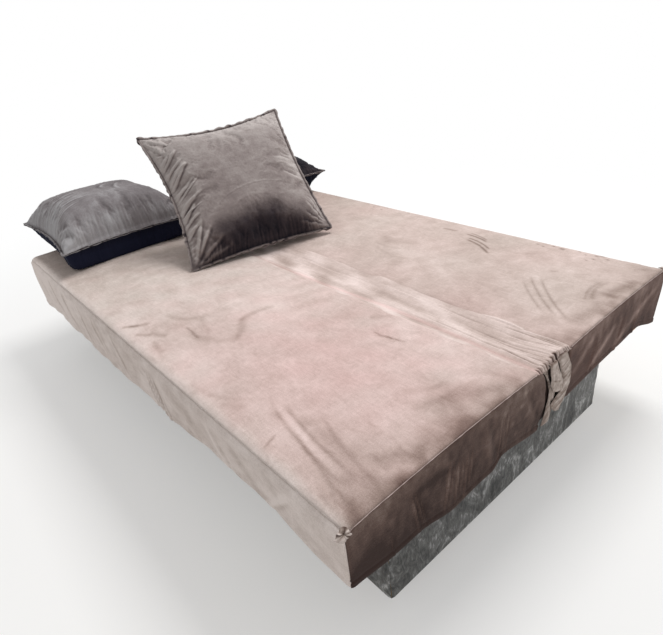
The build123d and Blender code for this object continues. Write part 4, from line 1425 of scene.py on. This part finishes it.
def knot_grid(centre, facing, seed, rows=14, columns=150):
    """A ruffled strip wound round a point, as seen along the way that it faces."""
    facing = unit(np.array(facing, float))
    level = unit(np.cross((0.0, 0.0, 1.0), facing))
    upward = np.cross(facing, level)
    turn = np.linspace(0, knot_turns, columns)[None, :]
    share = np.linspace(0, 1, rows)[:, None]
    uneven = waves(turn, 0.0 * turn, 1.6, seed)
    ruffle = np.sin(knot_loops * turn + 2.2 * uneven)
    reach = knot_hub + share * knot_size * (1 + 0.40 * uneven + 0.12 * share * ruffle)
    out = knot_dome * np.sin(0.62 * math.pi * share) + knot_ruffle * share * ruffle * (1 + 0.5 * uneven)
    out = out + 0.0005 * turn - share**2 * knot_droop * (0.6 + 0.4 * uneven)
    sideways = turn + 0.18 * share * np.cos(knot_loops * turn + 2.2 * uneven)
    points = centre + out[..., None] * facing
    points = points + (reach * np.cos(sideways))[..., None] * level
    points = points + (0.85 * reach * np.sin(sideways))[..., None] * upward
    # Painted shade: the ruffles' valleys and the knot's middle are painted dark
    knot_painted_shade = np.clip(0.5 - 0.5 * ruffle, 0, 1) ** 2
    pile_and_shade = 0.14 + 0.75 * knot_painted_shade * (0.5 + 0.5 * share) + 0.6 * (1 - share) ** 3
    return points, pile_and_shade


for side in (-1, 1):
    name, body, depth = halves[side]
    outer = hinge_y + side * (gap_half + depth)
    centre = np.array([bed_end - knot_inset, outer - side * knot_inset, edge_level - knot_drop])
    points, pile_and_shade = knot_grid(centre, (1, side, 0.9), 441 + side)
    piece, flat = cloth(f"{name}_right_knot", points, pile_and_shade=pile_and_shade, thickness=knot_thickness)
    piece.data.materials.append(slipcover)
    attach(piece, body)
    print(f"{piece.name}: cut {flat[0]:.3f} by {flat[1]:.3f} m")

# %% [markdown]
# ## A cushion's cover
#
# A scatter cushion is two square panels sewn together and stuffed. Stuffing rounds the panels, so
# the sides draw in between the corners, and the spare cloth puckers along the seam.
# A stretched sphere never looks like that. Here the two panels start as one welded grid, and
# Blender's cloth solver blows it up with air pressure while the seam is held, so that the puckers
# come by themselves. The result is capped, so that it can't leave the size of its CAD solid.

# %% Build a cushion's skin
skin_cells = 84


def fullness(a, b, power, ease):
    """How far a stuffed panel stands up: full to near the seam, and thin at the corners."""
    return ((1 - np.abs(a) ** power) * (1 - np.abs(b) ** power)) ** ease


def cushion_skin(side, rise, sink, drawn, form, heavier, cells=skin_cells):
    """Two square panels that share their seam: points, quads, and the point grids of both.

    drawn is how far each side is drawn in (left, right, bottom, top), form is how full the panels
    are, and heavier is how much more the top and the underside swell towards the right."""
    span = np.linspace(-1, 1, cells + 1)
    a, b = np.meshgrid(span, span)
    x = a * side / 2 * (1 - np.where(a < 0, drawn[0], drawn[1]) * (1 - b**2))
    y = b * side / 2 * (1 - np.where(b < 0, drawn[2], drawn[3]) * (1 - a**2))
    full = fullness(a, b, *form)
    upper = np.stack([x, y, rise * full * (1 + heavier[0] * a)], axis=-1).reshape(-1, 3)
    lower = np.stack([x, y, -sink * full * (1 + heavier[1] * a)], axis=-1).reshape(-1, 3)
    top = np.arange((cells + 1) ** 2).reshape(cells + 1, cells + 1)
    inside = np.zeros(top.shape, bool)
    inside[1:-1, 1:-1] = True
    under = top.copy()
    under[inside] = top.size + np.arange(inside.sum())
    points = np.vstack([upper, lower[inside.ravel()]])
    quads = np.vstack([
        np.stack([top[:-1, :-1], top[:-1, 1:], top[1:, 1:], top[1:, :-1]], axis=-1).reshape(-1, 4),
        np.stack([under[:-1, :-1], under[1:, :-1], under[1:, 1:], under[:-1, 1:]], axis=-1).reshape(-1, 4),
    ])
    return points, quads, top, under


def seam_ring(top):
    """The seam's points, in order round the cushion."""
    return np.concatenate([top[0, :-1], top[:-1, -1], top[-1, :0:-1], top[:0:-1, 0]])


print("a cushion's skin has", 2 * skin_cells**2, "quads")

# %% [markdown]
# ## Air in the skin
#
# Fibre filling pushes the cover out evenly, much as air does, so the solver's pressure stands in
# for it. The cloth is a little longer than the skin it starts from, and that spare length is what
# buckles into puckers along the held seam. The broad part of the swell is limited to 12 mm.

# %% Swell the skin with air
air_frames, air_pressure = 24, 2.5
spare_cloth = 0.05       # the cloth is longer than the skin by this share
first_unevenness = 0.0004
bend_stiffness, stretch_stiffness = 0.8, 22.0


def blown_up(points, quads, held):
    """Where the cloth solver takes the points when air fills the skin and its seam is held."""
    trial = new_object("swelling", points, quads.tolist())
    seam = trial.vertex_groups.new(name="seam")
    seam.add([int(i) for i in held], 1.0, "REPLACE")
    air = trial.modifiers.new("air", "CLOTH")
    settings = air.settings
    settings.quality = 6
    settings.mass = 0.2
    settings.tension_stiffness = settings.compression_stiffness = stretch_stiffness
    settings.shear_stiffness = stretch_stiffness / 3
    settings.bending_stiffness = bend_stiffness
    settings.tension_damping = settings.compression_damping = 5
    settings.air_damping = 2
    settings.use_pressure = True
    settings.uniform_pressure_force = air_pressure
    settings.effector_weights.gravity = 0
    settings.vertex_group_mass = "seam"
    settings.shrink_min = settings.shrink_max = -spare_cloth
    air.collision_settings.use_collision = False
    air.collision_settings.use_self_collision = False
    air.point_cache.frame_start, air.point_cache.frame_end = 1, air_frames
    for step in range(1, air_frames + 1):
        bpy.context.scene.frame_set(step)
    shown = trial.evaluated_get(bpy.context.evaluated_depsgraph_get())
    after = np.zeros(len(points) * 3)
    shown.data.vertices.foreach_get("co", after)
    bpy.data.objects.remove(trial)
    bpy.context.scene.frame_set(1)
    return after.reshape(-1, 3)


def evened(field, rounds=30):
    """A change over a panel with its small ups and downs taken out."""
    field = field.copy()
    for _ in range(rounds):
        field[1:-1, 1:-1] = (field[:-2, 1:-1] + field[2:, 1:-1] + field[1:-1, :-2] + field[1:-1, 2:]) / 4
    return field


def swollen(points, quads, top, under, seed, cap=0.012, gain=0.9):
    """The swollen points: the broad swell is capped, and nearly all of the puckers ride on it."""
    draw = np.random.default_rng(seed)
    rough = points + draw.normal(0, first_unevenness, points.shape) * (0, 0, 1)
    held = seam_ring(top)
    rough[held] = points[held]
    after = blown_up(rough, quads, held)
    change = np.zeros(points.shape)
    for grid in (top, under):
        move = (after - points)[grid]
        broad = evened(move)
        far = np.linalg.norm(broad, axis=-1, keepdims=True)
        change[grid] = broad * np.minimum(1, cap / np.maximum(far, 1e-9)) + gain * (move - broad)
    change[held] = 0
    return points + change


print("the air is", f"let in over {air_frames} frames")

# %% [markdown]
# ## Finer folds on a cushion
#
# The solver gives the broad swell and its large puckers, but its cells are too big for the fine
# folds that the stitches pull in along a seam. More cells in the solver would take minutes.
# So each panel is refined on smooth curves afterwards, and gets short folds from its four edges
# and the folds that a cushion has of its own. How far a point stands proud of the evened panel is
# painted into the pile as light and shade: ridges are painted light, and valleys painted dark.

# %% Refine and fold a cushion's panels
def halved(panel):
    """A panel with a row added between each two, on a smooth curve through them."""
    between = (panel[:-1] + panel[1:]) / 2
    between[1:-1] = (9 * (panel[1:-2] + panel[2:-1]) - panel[:-3] - panel[3:]) / 16
    finer = np.empty((2 * len(panel) - 1, *panel.shape[1:]))
    finer[::2], finer[1::2] = panel, between
    return finer


def refined(panel):
    """The panel with twice as many cells each way."""
    return halved(halved(panel).swapaxes(0, 1)).swapaxes(0, 1)


def puckers(panel, side, strength, seed, reach=0.075, pitch=0.017):
    """Folds that run in from the four edges of a panel (bottom, top, left, right)."""
    draw = np.random.default_rng(seed)
    span = np.linspace(-1, 1, panel.shape[0])
    a, b = np.meshgrid(span, span)
    lift = np.zeros(a.shape)
    for edge, (inward, along) in enumerate(((1 + b, a), (1 - b, a), (1 + a, b), (1 - a, b))):
        inward, along = inward * side / 2, along * side / 2
        for at in np.arange(-0.45 * side, 0.45 * side, pitch):
            at = at + draw.uniform(-0.35, 0.35) * pitch
            length = reach * draw.uniform(0.4, 1.1)
            lean = draw.uniform(-0.25, 0.25) + 0.7 * at / side
            height = strength[edge] * draw.uniform(0.4, 1.0)
            end = (at - lean * length, length)
            lift += drag(along, inward, (at, -0.012), end, 0.24 * pitch, height)
    return lift


def standing_out(panel):
    """How far each point of a panel stands out of the evened panel."""
    way = np.sign(panel[len(panel) // 2, len(panel) // 2, 2])
    return way * (panel - evened(panel, 40))[..., 2]


print("a refined panel has", (2 * skin_cells) ** 2, "cells")

# %% [markdown]
# ## Sewing and placing a cushion
#
# The two panels meet at the seam, and outside it stands a flat double edge not quite a centimetre
# wide: two leaves of cloth with a groove between them, wavy where the stitches gather it. It is
# added after the swelling, as rings of quads round the seam, so the solver never sees it.
# Then the cushion is turned to its place, and whatever would sink into the bed is pressed flat
# against it, as the cover really lies.

# %% Sew and place a cushion
flange_sway, flange_uneven = 0.0018, 0.22
flange_rings = (
    # Reach as a share of the width, level, half the leaf's thickness, pile (the groove's painted shade)
    (0.10, 0.0020, 0.0007, 0.40), (1.00, 0.0026, 0.0007, 0.00), (1.06, 0.0026, -0.0007, 0.10),
    (0.25, 0.0000, 0.0000, 0.60), (1.00, -0.0026, 0.0007, 0.10), (1.06, -0.0026, -0.0007, -0.05),
    (0.05, -0.0014, 0.0, 0.35),
)


def sewn(panels, piles, width, seed, wavy):
    """One closed skin from two panels and the double edge between them: points, faces and pile."""
    upper, lower = panels
    count = len(upper)
    top = np.arange(count**2).reshape(count, count)
    ring = seam_ring(top)
    line = upper.reshape(-1, 3)[ring]
    tangent = np.roll(line, -3, axis=0) - np.roll(line, 3, axis=0)
    out = unit(np.stack([tangent[:, 1], -tangent[:, 0], np.zeros(len(ring))], axis=1))
    along = run_along(line)
    points, pile, rings = [upper.reshape(-1, 3)], [piles[0].ravel()], [ring]
    for reach, level, leaf, shade in flange_rings:
        leaf_seed = seed + 1 + int(np.sign(level))
        sway = flange_sway * wavy * waves(along, 0.0, 0.045, leaf_seed) * (reach > 0.5)
        wide = width * reach * (1 + flange_uneven * wavy * waves(along, 0.0, 0.032, leaf_seed + 10))
        points.append(line + out * wide[:, None] + np.outer(level + leaf + sway, (0, 0, 1)))
        # Painted shade: darker patches where the stitches gather the edge
        gathered = 0.45 * np.clip(waves(along, 0.0, 0.020, leaf_seed + 20) - 0.5, 0, 1)
        pile.append(np.full(len(ring), shade) + gathered)
        rings.append(count**2 + (len(rings) - 1) * len(ring) + np.arange(len(ring)))
    inside = np.zeros(top.shape, bool)
    inside[1:-1, 1:-1] = True
    low = np.zeros(top.size, int)
    low[inside.ravel()] = sum(map(len, points)) + np.arange(inside.sum())
    low[ring] = rings[-1]
    low = low.reshape(top.shape)
    points.append(lower[inside])
    pile.append(piles[1][inside])
    over = np.stack([top[:-1, :-1], top[:-1, 1:], top[1:, 1:], top[1:, :-1]], axis=-1)
    edge = [np.stack([r, s, np.roll(s, -1), np.roll(r, -1)], axis=-1) for r, s in zip(rings, rings[1:])]
    under = np.stack([low[:-1, :-1], low[1:, :-1], low[1:, 1:], low[:-1, 1:]], axis=-1)
    faces = [over.reshape(-1, 4), np.vstack(edge), under.reshape(-1, 4)]
    return np.vstack(points), faces, np.concatenate(pile)


def pressed(points, level, softness):
    """Points under a level are pressed up to it, with a soft bend where they meet it."""
    points[:, 2] = level + softness * np.logaddexp(0, (points[:, 2] - level) / softness)
    return points


def cushion(name, side, rise, sink, place, pile_and_shade, seed, strength, softness=0.006, folds=(), cool=0.0,
            shade=cushion_shade, flange=0.008, drawn=(0.10, 0.10, 0.10, 0.10), form=(2.8, 0.60),
            heavier=(0.0, 0.0), wavy=1.0, pucker_painted_shading=90.0, deepest_painted_shade=0.45):
    """A finished cushion in its place, riding on its own body.

    pile_and_shade gives its pile's state, with any painted shade, at each point, strength the
    height of the puckers at its bottom, top, left and right, softness how softly it bends where
    the bed presses it, cool how much of the tint its colour takes, wavy how uneven its double edge
    is, pucker_painted_shading how much lighter the ridges and darker the hollows are painted for
    each metre that a fold stands out, and deepest_painted_shade the darkest painted shade in a hollow."""
    points, quads, top, under = cushion_skin(side - 2 * flange, rise, sink, drawn, form, heavier)
    points = swollen(points, quads, top, under, seed)
    panels, piles = [], []
    for grid, way in ((top, 1), (under, -1)):
        panel = refined(points[grid])
        # Painted light and shade: proud points painted lighter, hollows darker
        swell_painted_shading = 30.0 * np.clip(standing_out(panel), -0.004, 0.004)
        lift = puckers(panel, side, strength, seed + (way < 0))
        if way > 0:
            lift = lift + tugged(panel[..., 0], panel[..., 1], folds)
        inner = np.zeros(lift.shape)
        inner[1:-1, 1:-1] = 1
        panel[..., 2] += way * lift * inner
        panels.append(panel)
        piles.append(-np.clip(swell_painted_shading + pucker_painted_shading * lift, -deepest_painted_shade, 0.32))
    points, faces, pile = sewn(panels, piles, flange, seed, wavy)
    on_edge = np.arange(len(points)) - len(panels[0]) ** 2
    on_edge = (on_edge >= 0) & (on_edge < len(flange_rings) * 4 * (len(panels[0]) - 1))
    brushed = pile_and_shade(points, side)
    pile = pile + np.where(on_edge, np.minimum(0.45 * brushed, 0.22), brushed)
    cut = points[:, :2] + (1.0, 1.0)
    points = np.array([place @ Vector(p) for p in points])
    points = pressed(points, top_level + 0.001, softness)
    piece = new_object(name, points, np.vstack(faces).tolist(), cut)
    stored(piece, "pile_and_shade", pile)
    stored(piece, "blush", np.full(len(points), cool))
    piece.data.materials.append(cushion_velvet)
    piece.data.materials.append(shade)
    material = np.zeros(len(piece.data.polygons), int)
    material[-len(faces[2]):] = 1
    piece.data.polygons.foreach_set("material_index", material)
    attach(piece, name.replace("_cover", ""))
    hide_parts(*(name.replace("cover", part) for part in ("top", "underside", "filling")))
    size = points.max(axis=0) - points.min(axis=0)
    print(f"{name}: {size[0]:.3f} by {size[1]:.3f} by {size[2]:.3f} m")


print("a double edge has", len(flange_rings), "rings of quads")

# %% [markdown]
# ## The lying pillows
#
# Two pillows lie at the left end. Their crowns are grey where the pile is smooth, and their
# undersides are painted nearly black: painted shade, because little light gets there, on a darker
# backing cloth. Each rests on a wide flat patch, with a steep side between the seam and the bed:
# the underside starts much deeper than the bed allows, and pressing it up to the bed makes both.

# %% Make the lying pillows
front_side, rear_side = 0.52, 0.46


def lying_place(node, side, pitch):
    """Where a lying pillow's middle is: over its box, at its seam's level."""
    low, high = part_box(node)
    level = low.z + side / 2 * math.sin(math.radians(pitch))
    turn = Matrix.Rotation(math.radians(pitch), 4, "Y")
    return Matrix.Translation(((low.x + high.x) / 2, (low.y + high.y) / 2, level)) @ turn


def lying_nap(points, side):
    """The pile of the front pillow: darker towards the side that faces the back."""
    x, y = points[:, 0], points[:, 1]
    pile_and_shade = 0.23 + 0.05 * waves(x, y, 0.16, 101) + 0.03 * waves(x, y, 0.05, 102)
    return pile_and_shade + 0.14 * smooth_step(y, -0.16, side / 2)


def rear_nap(points, side):
    """The pile of the rear pillow, darker all over."""
    return lying_nap(points, side) + 0.64


front_folds = (
    ((-0.10, -0.235), (-0.075, -0.10), 0.0040, 0.0026, 0.004),
    ((-0.05, -0.235), (-0.040, -0.06), 0.0050, 0.0026, 0.006),
    ((0.01, -0.235), (0.005, -0.09), 0.0040, 0.0024, -0.004),
    ((0.06, -0.235), (0.070, -0.05), 0.0045, 0.0026, 0.004),
    ((0.12, -0.235), (0.105, -0.11), 0.0040, 0.0024, 0.003),
    ((-0.235, -0.20), (-0.16, -0.06), 0.0070, 0.0036, 0.010),
    ((-0.215, -0.225), (-0.12, -0.12), 0.0070, 0.0036, 0.008),
    ((-0.225, -0.10), (-0.15, 0.02), 0.0080, 0.0030, 0.008),
    ((-0.05, 0.06), (0.03, 0.02), 0.0080, 0.0030, 0.020),
    ((-0.02, 0.10), (0.10, 0.06), 0.0070, 0.0024, 0.020),
)
print("the front pillow has", len(front_folds), "folds of its own")
cushion(
    "front_pillow_cover", front_side, rise=0.119, sink=0.180,
    place=lying_place("front_pillow_top", front_side, 2.0), pile_and_shade=lying_nap, seed=110,
    strength=(0.0018, 0.0008, 0.0016, 0.0012), folds=front_folds, cool=0.7, form=(3.5, 0.53),
    heavier=(0.12, 0.5), wavy=0.5,
)
cushion(
    "rear_pillow_cover", rear_side, rise=0.090, sink=0.150,
    place=lying_place("rear_pillow_top", rear_side, 0.0), pile_and_shade=rear_nap, seed=120,
    strength=(0.0012, 0.0012, 0.0012, 0.0014), cool=0.2, wavy=0.5,
)

# %% [markdown]
# ## The leaning cushion
#
# The biggest cushion leans across the gap on its lower edge. It is the only one seen nearly face
# on, so its creases matter most: diagonal puckers from its left edge, a faint arc across the
# middle, and a lower half painted much darker as shade, for it turns down and away from the light.

# %% Make the leaning cushion
corners = [corner for node in ("leaning_cushion_top", "leaning_cushion_underside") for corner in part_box(node)]
lean_middle = (Vector(map(min, *corners)) + Vector(map(max, *corners))) / 2
lean_yaw, lean_roll, lean_tilt = (math.radians(turn) for turn in (77.2, -1.6, 46.6))
lean_turn = (
    Matrix.Rotation(lean_yaw, 4, "Z")
    @ Matrix.Rotation(lean_roll, 4, "Y")
    @ Matrix.Rotation(lean_tilt, 4, "X")
)


def leaning_pile_and_shade(points, side):
    """Pile with painted light above, painted shade below an arc, and a lighter bottom seam."""
    x, y = points[:, 0], points[:, 1]
    arc = y + 1.7 * (x + 0.005) ** 2 + 0.012 * waves(x, y, 0.12, 132)
    pile_and_shade = 0.22 + 0.040 * waves(x, y, 0.14, 131) + 0.02 * waves(x, y, 0.045, 133)
    # Painted light on the upper part, and painted shade below the arc
    pile_and_shade = pile_and_shade - 0.10 * smooth_step(y, 0.02, 0.22)
    pile_and_shade = pile_and_shade + 0.76 * (1 - smooth_step(arc, -0.245, -0.066))
    return pile_and_shade - 0.10 * (1 - smooth_step(y, -0.270, -0.255))


# The faint arc, the folds at the corners, and then the puckers of the left edge
leaning_folds = [
    ((-0.12, -0.100), (0.18, -0.095), 0.0030, 0.0008, -0.045),
    ((-0.08, -0.128), (0.09, -0.120), 0.0050, 0.0004, -0.030),
    ((-0.262, -0.262), (-0.190, -0.120), 0.0060, 0.0044, 0.004),
    ((-0.258, -0.262), (-0.165, -0.155), 0.0060, 0.0040),
    ((-0.250, -0.264), (-0.135, -0.200), 0.0055, 0.0034),
    ((-0.240, -0.266), (-0.110, -0.232), 0.0050, 0.0026),
    ((0.262, -0.262), (0.180, -0.205), 0.0050, 0.0032),
    ((0.262, -0.258), (0.200, -0.165), 0.0050, 0.0032),
    ((0.264, -0.250), (0.222, -0.140), 0.0045, 0.0030),
    ((0.256, -0.264), (0.150, -0.230), 0.0045, 0.0026),
    ((-0.262, 0.262), (-0.180, 0.190), 0.0060, 0.0030),
    ((-0.262, 0.255), (-0.205, 0.150), 0.0060, 0.0030),
    ((0.235, -0.060), (0.160, -0.030), 0.0060, 0.0022),
    ((0.238, 0.020), (0.150, 0.030), 0.0070, 0.0020),
]
fold_draw = np.random.default_rng(137)
for place in np.arange(-0.17, 0.15, 0.0200):
    place = place + fold_draw.uniform(-0.007, 0.007)
    length = fold_draw.uniform(0.035, 0.080) + 0.035 * math.exp(-((place / 0.09) ** 2))
    slant = fold_draw.uniform(0.30, 0.80)
    width = fold_draw.uniform(0.0030, 0.0062)
    height = width * fold_draw.uniform(0.80, 1.35)
    start = (-0.268 + 0.032 * (1 - (place / 0.27) ** 2), place)
    end = np.add(start, (math.cos(slant) * length, math.sin(slant) * length))
    leaning_folds.append((start, end, width, height, fold_draw.uniform(-0.008, 0.004)))
print("the leaning cushion has", len(leaning_folds), "folds of its own")
cushion(
    "leaning_cushion_cover", 0.56, rise=0.074, sink=0.074,
    place=Matrix.Translation(lean_middle) @ lean_turn, pile_and_shade=leaning_pile_and_shade, seed=130,
    strength=(0.0016, 0.0008, 0.0008, 0.0012), softness=0.003, folds=leaning_folds, cool=0.1,
    shade=cushion_velvet, flange=0.009, drawn=(0.12, 0.06, 0.05, 0.12), pucker_painted_shading=110.0, deepest_painted_shade=0.62,
)

# %% [markdown]
# ## The base box's crushed velvet
#
# Under the pads stands a plain box, wrapped in crushed velvet that is glued and stapled. Wrapped
# cloth follows the board, but it isn't glass-flat: it has shallow dents and soft corners.
# Each side is a grid that turns half of each corner and folds under the box at the bottom.

# %% Wrap the base box
base_low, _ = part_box("base_front_velvet")
_, base_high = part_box("base_rear_velvet")
base_top = base_high.z
base_corner = 0.007
base_cloth = 0.0012
broad_dent, small_dent = 0.0012, 0.0005


def base_side(name, start, end, seed, columns):
    """One side of the box from corner to corner, seen from above, with its cloth folded under."""
    start, end = np.array(start), np.array(end)
    along = unit(end - start)
    inward = np.array([-along[1], along[0]])
    half = np.linspace(math.pi / 4, 0, 6)
    first = [start + base_corner * (along * (1 - math.sin(a)) + inward * (1 - math.cos(a))) for a in half]
    last = [end + base_corner * (-along * (1 - math.sin(a)) + inward * (1 - math.cos(a))) for a in half[::-1]]
    path = evenly(np.array(first + last), columns)
    rows = [(0.0, z) for z in np.linspace(base_top - 0.0005, base_low.z + 0.003, 44)]
    rows += [(0.001, base_low.z + 0.001), (0.004, base_low.z - 0.0006), (0.016, base_low.z - 0.0006)]
    run = run_along(path)
    inside, level = np.array([r[0] for r in rows])[:, None], np.array([r[1] for r in rows])[:, None]
    dents = broad_dent * waves(run[None, :], level, 0.12, seed)
    dents = dents + small_dent * waves(run[None, :], level, 0.035, seed + 1)
    dents = dents * smooth_step(level, base_low.z, base_low.z + 0.02) + 0.0008
    plan = path[None] + inward * (inside - dents)[..., None]
    grid = np.concatenate([plan, np.broadcast_to(level[..., None], plan.shape[:2] + (1,))], axis=-1)
    piece, flat = cloth(f"base_{name}_skin", grid, thickness=base_cloth)
    piece.data.materials.append(crushed)
    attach(piece, "base")
    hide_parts(f"base_{name}_velvet")
    print(f"{piece.name}: cut {flat[0]:.2f} by {flat[1]:.2f} m")


left, right = base_low.x, base_high.x
front, rear = base_low.y, base_high.y
base_side("front", (left, front), (right, front), 141, 240)
base_side("right", (right, front), (right, rear), 143, 120)
base_side("rear", (right, rear), (left, rear), 145, 240)
base_side("left", (left, rear), (left, front), 147, 120)

# %% [markdown]
# ## Foam pads
#
# The foam shows only when the back is raised and the cover opens below, but it is a soft part and
# deserves soft edges. The CAD solid is copied, rebuilt from even voxels, and relaxed.

# %% Soften the foam pads
def soft_pad(node, voxel=0.010):
    """A pad of foam with soft edges, in place of its CAD solid."""
    source = frame["nodes"][node]
    piece = bpy.data.objects.new(node + "_soft", source.data.copy())
    bpy.context.scene.collection.objects.link(piece)
    piece.matrix_world = source.matrix_world
    remesh = piece.modifiers.new("even", "REMESH")
    remesh.mode = "VOXEL"
    remesh.voxel_size = voxel
    relax = piece.modifiers.new("relax", "SMOOTH")
    relax.iterations = 3
    relax.factor = 0.5
    shown = piece.evaluated_get(bpy.context.evaluated_depsgraph_get())
    mesh = bpy.data.meshes.new_from_object(shown)
    piece.modifiers.clear()
    piece.data = mesh
    mesh.materials.clear()
    mesh.materials.append(foam)
    mesh.shade_smooth()
    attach(piece, body_of(source)[0])
    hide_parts(node)
    print(piece.name, len(mesh.polygons), "faces")


soft_pad("seat_foam")
soft_pad("back_foam")

# %% [markdown]
# ## Floor, light and camera
#
# A studio for a pale product shot: a wide pale floor that keeps the shadow, a white background,
# and soft light from all round with one large lamp above. The background is whitened only for the
# rays that the camera sends, so that it adds no light of its own to the cloth.

# %% Lay the floor
floor_middle = 0.1
floor_radii = (0.6, 1.4, 2.4, 4.0, 9.0)
floor_grey = paint(238, 237, 235)


def ring_floor(radii, count=96):
    """A round floor of rings of quads about its middle."""
    turns = np.linspace(0, 2 * math.pi, count, endpoint=False)
    points = [(floor_middle, 0.0, 0.0)]
    points += [(floor_middle + r * math.cos(a), r * math.sin(a), 0.0) for r in radii for a in turns]
    faces = [(0, 1 + k, 1 + (k + 1) % count) for k in range(count)]
    for ring in range(len(radii) - 1):
        a, b = 1 + ring * count, 1 + (ring + 1) * count
        faces += [(a + k, b + k, b + (k + 1) % count, a + (k + 1) % count) for k in range(count)]
    return new_object("studio_floor", points, faces)


floor = ring_floor(floor_radii)
tree = Tree("studio_floor")
place = tree.add("TexCoord").outputs["Object"]
distance = tree.add("VectorMath", operation="LENGTH")
tree.put(place, distance.inputs[0])
fade = tree.spread(distance.outputs["Value"], 0.9, 3.0, 0.35, 1.0, interpolation_type="SMOOTHSTEP")
seen = tree.add("LightPath").outputs["Is Camera Ray"]
share = tree.math("MULTIPLY", fade, seen)
white = tree.add("Emission", strength=1.0)
mixed = tree.add("MixShader")
tree.put(share, mixed.inputs[0])
tree.put(tree.shader.outputs[0], mixed.inputs[1])
tree.put(white.outputs[0], mixed.inputs[2])
tree.links.new(mixed.outputs[0], tree.nodes["Material Output"].inputs["Surface"])
tree.finish(floor_grey, Roughness=0.9, Specular_IOR_Level=0.1)
floor.data.materials.append(tree.material)
print("the floor has", len(floor.data.polygons), "faces and reaches", floor_radii[-1], "m")

# %% [markdown]
# ## Light
#
# White light comes evenly from all round, and one large lamp behind and above the bed gives the
# cushions their soft shadows. Rays that the camera or a glossy surface sends see pure white.

# %% Set the light
lamp_place, lamp_power = (-0.3, 2.1, 4.45), 165.0
lamp_size = (2.2, 1.8)
sky_strength = 0.60
world = bpy.data.worlds.new("studio")
bpy.context.scene.world = world
world.use_nodes = True
nodes, links = world.node_tree.nodes, world.node_tree.links
sky = nodes["Background"]
paths = nodes.new("ShaderNodeLightPath")
first, second = nodes.new("ShaderNodeMath"), nodes.new("ShaderNodeMath")
first.operation = second.operation = "MAXIMUM"
links.new(paths.outputs["Is Camera Ray"], first.inputs[0])
links.new(paths.outputs["Is Glossy Ray"], first.inputs[1])
links.new(first.outputs[0], second.inputs[0])
links.new(paths.outputs["Is Transmission Ray"], second.inputs[1])
level = nodes.new("ShaderNodeMapRange")
links.new(second.outputs[0], level.inputs["Value"])
level.inputs["To Min"].default_value = sky_strength
level.inputs["To Max"].default_value = 1.0
links.new(level.outputs[0], sky.inputs["Strength"])
sky.inputs["Color"].default_value = (1.0, 1.0, 1.0, 1.0)

lamp_data = bpy.data.lights.new("overhead", "AREA")
lamp_data.shape = "RECTANGLE"
lamp_data.size, lamp_data.size_y = lamp_size
lamp_data.energy = lamp_power
lamp = bpy.data.objects.new("overhead", lamp_data)
lamp.location = lamp_place
lamp.rotation_euler = (Vector((0, 0, 0.4)) - lamp.location).to_track_quat("-Z", "Y").to_euler()
bpy.context.scene.collection.objects.link(lamp)
bpy.context.scene.view_settings.view_transform = "Standard"
print("the lamp gives", lamp_power, "W from", lamp_place)

# %% [markdown]
# ## Camera
#
# The camera stands where it stood for the photograph: at the free end of the bed, a little above
# eye level of someone sitting, turned slightly off level.

# %% Set up the camera
camera_place, camera_lens = (1.4172, -0.9661, 1.1301), 28.95
azimuth, elevation, roll = (math.radians(turn) for turn in (52.07, 29.01, -6.733))
flat_share = math.cos(elevation)
forward = Vector((-math.sin(azimuth) * flat_share, math.cos(azimuth) * flat_share, -math.sin(elevation)))
level_right = forward.cross(Vector((0, 0, 1))).normalized()
level_up = level_right.cross(forward)
right_way = math.cos(roll) * level_right + math.sin(roll) * level_up
up_way = -math.sin(roll) * level_right + math.cos(roll) * level_up
camera_data = bpy.data.cameras.new("camera")
camera_data.lens = camera_lens
camera_data.sensor_width = 36.0
camera = bpy.data.objects.new("camera", camera_data)
camera_turn = Matrix((right_way, up_way, -forward)).transposed().to_4x4()
camera.matrix_world = Matrix.Translation(camera_place) @ camera_turn
bpy.context.scene.collection.objects.link(camera)
bpy.context.scene.camera = camera
print("the camera stands at", camera_place, "with a lens of", camera_lens, "mm")
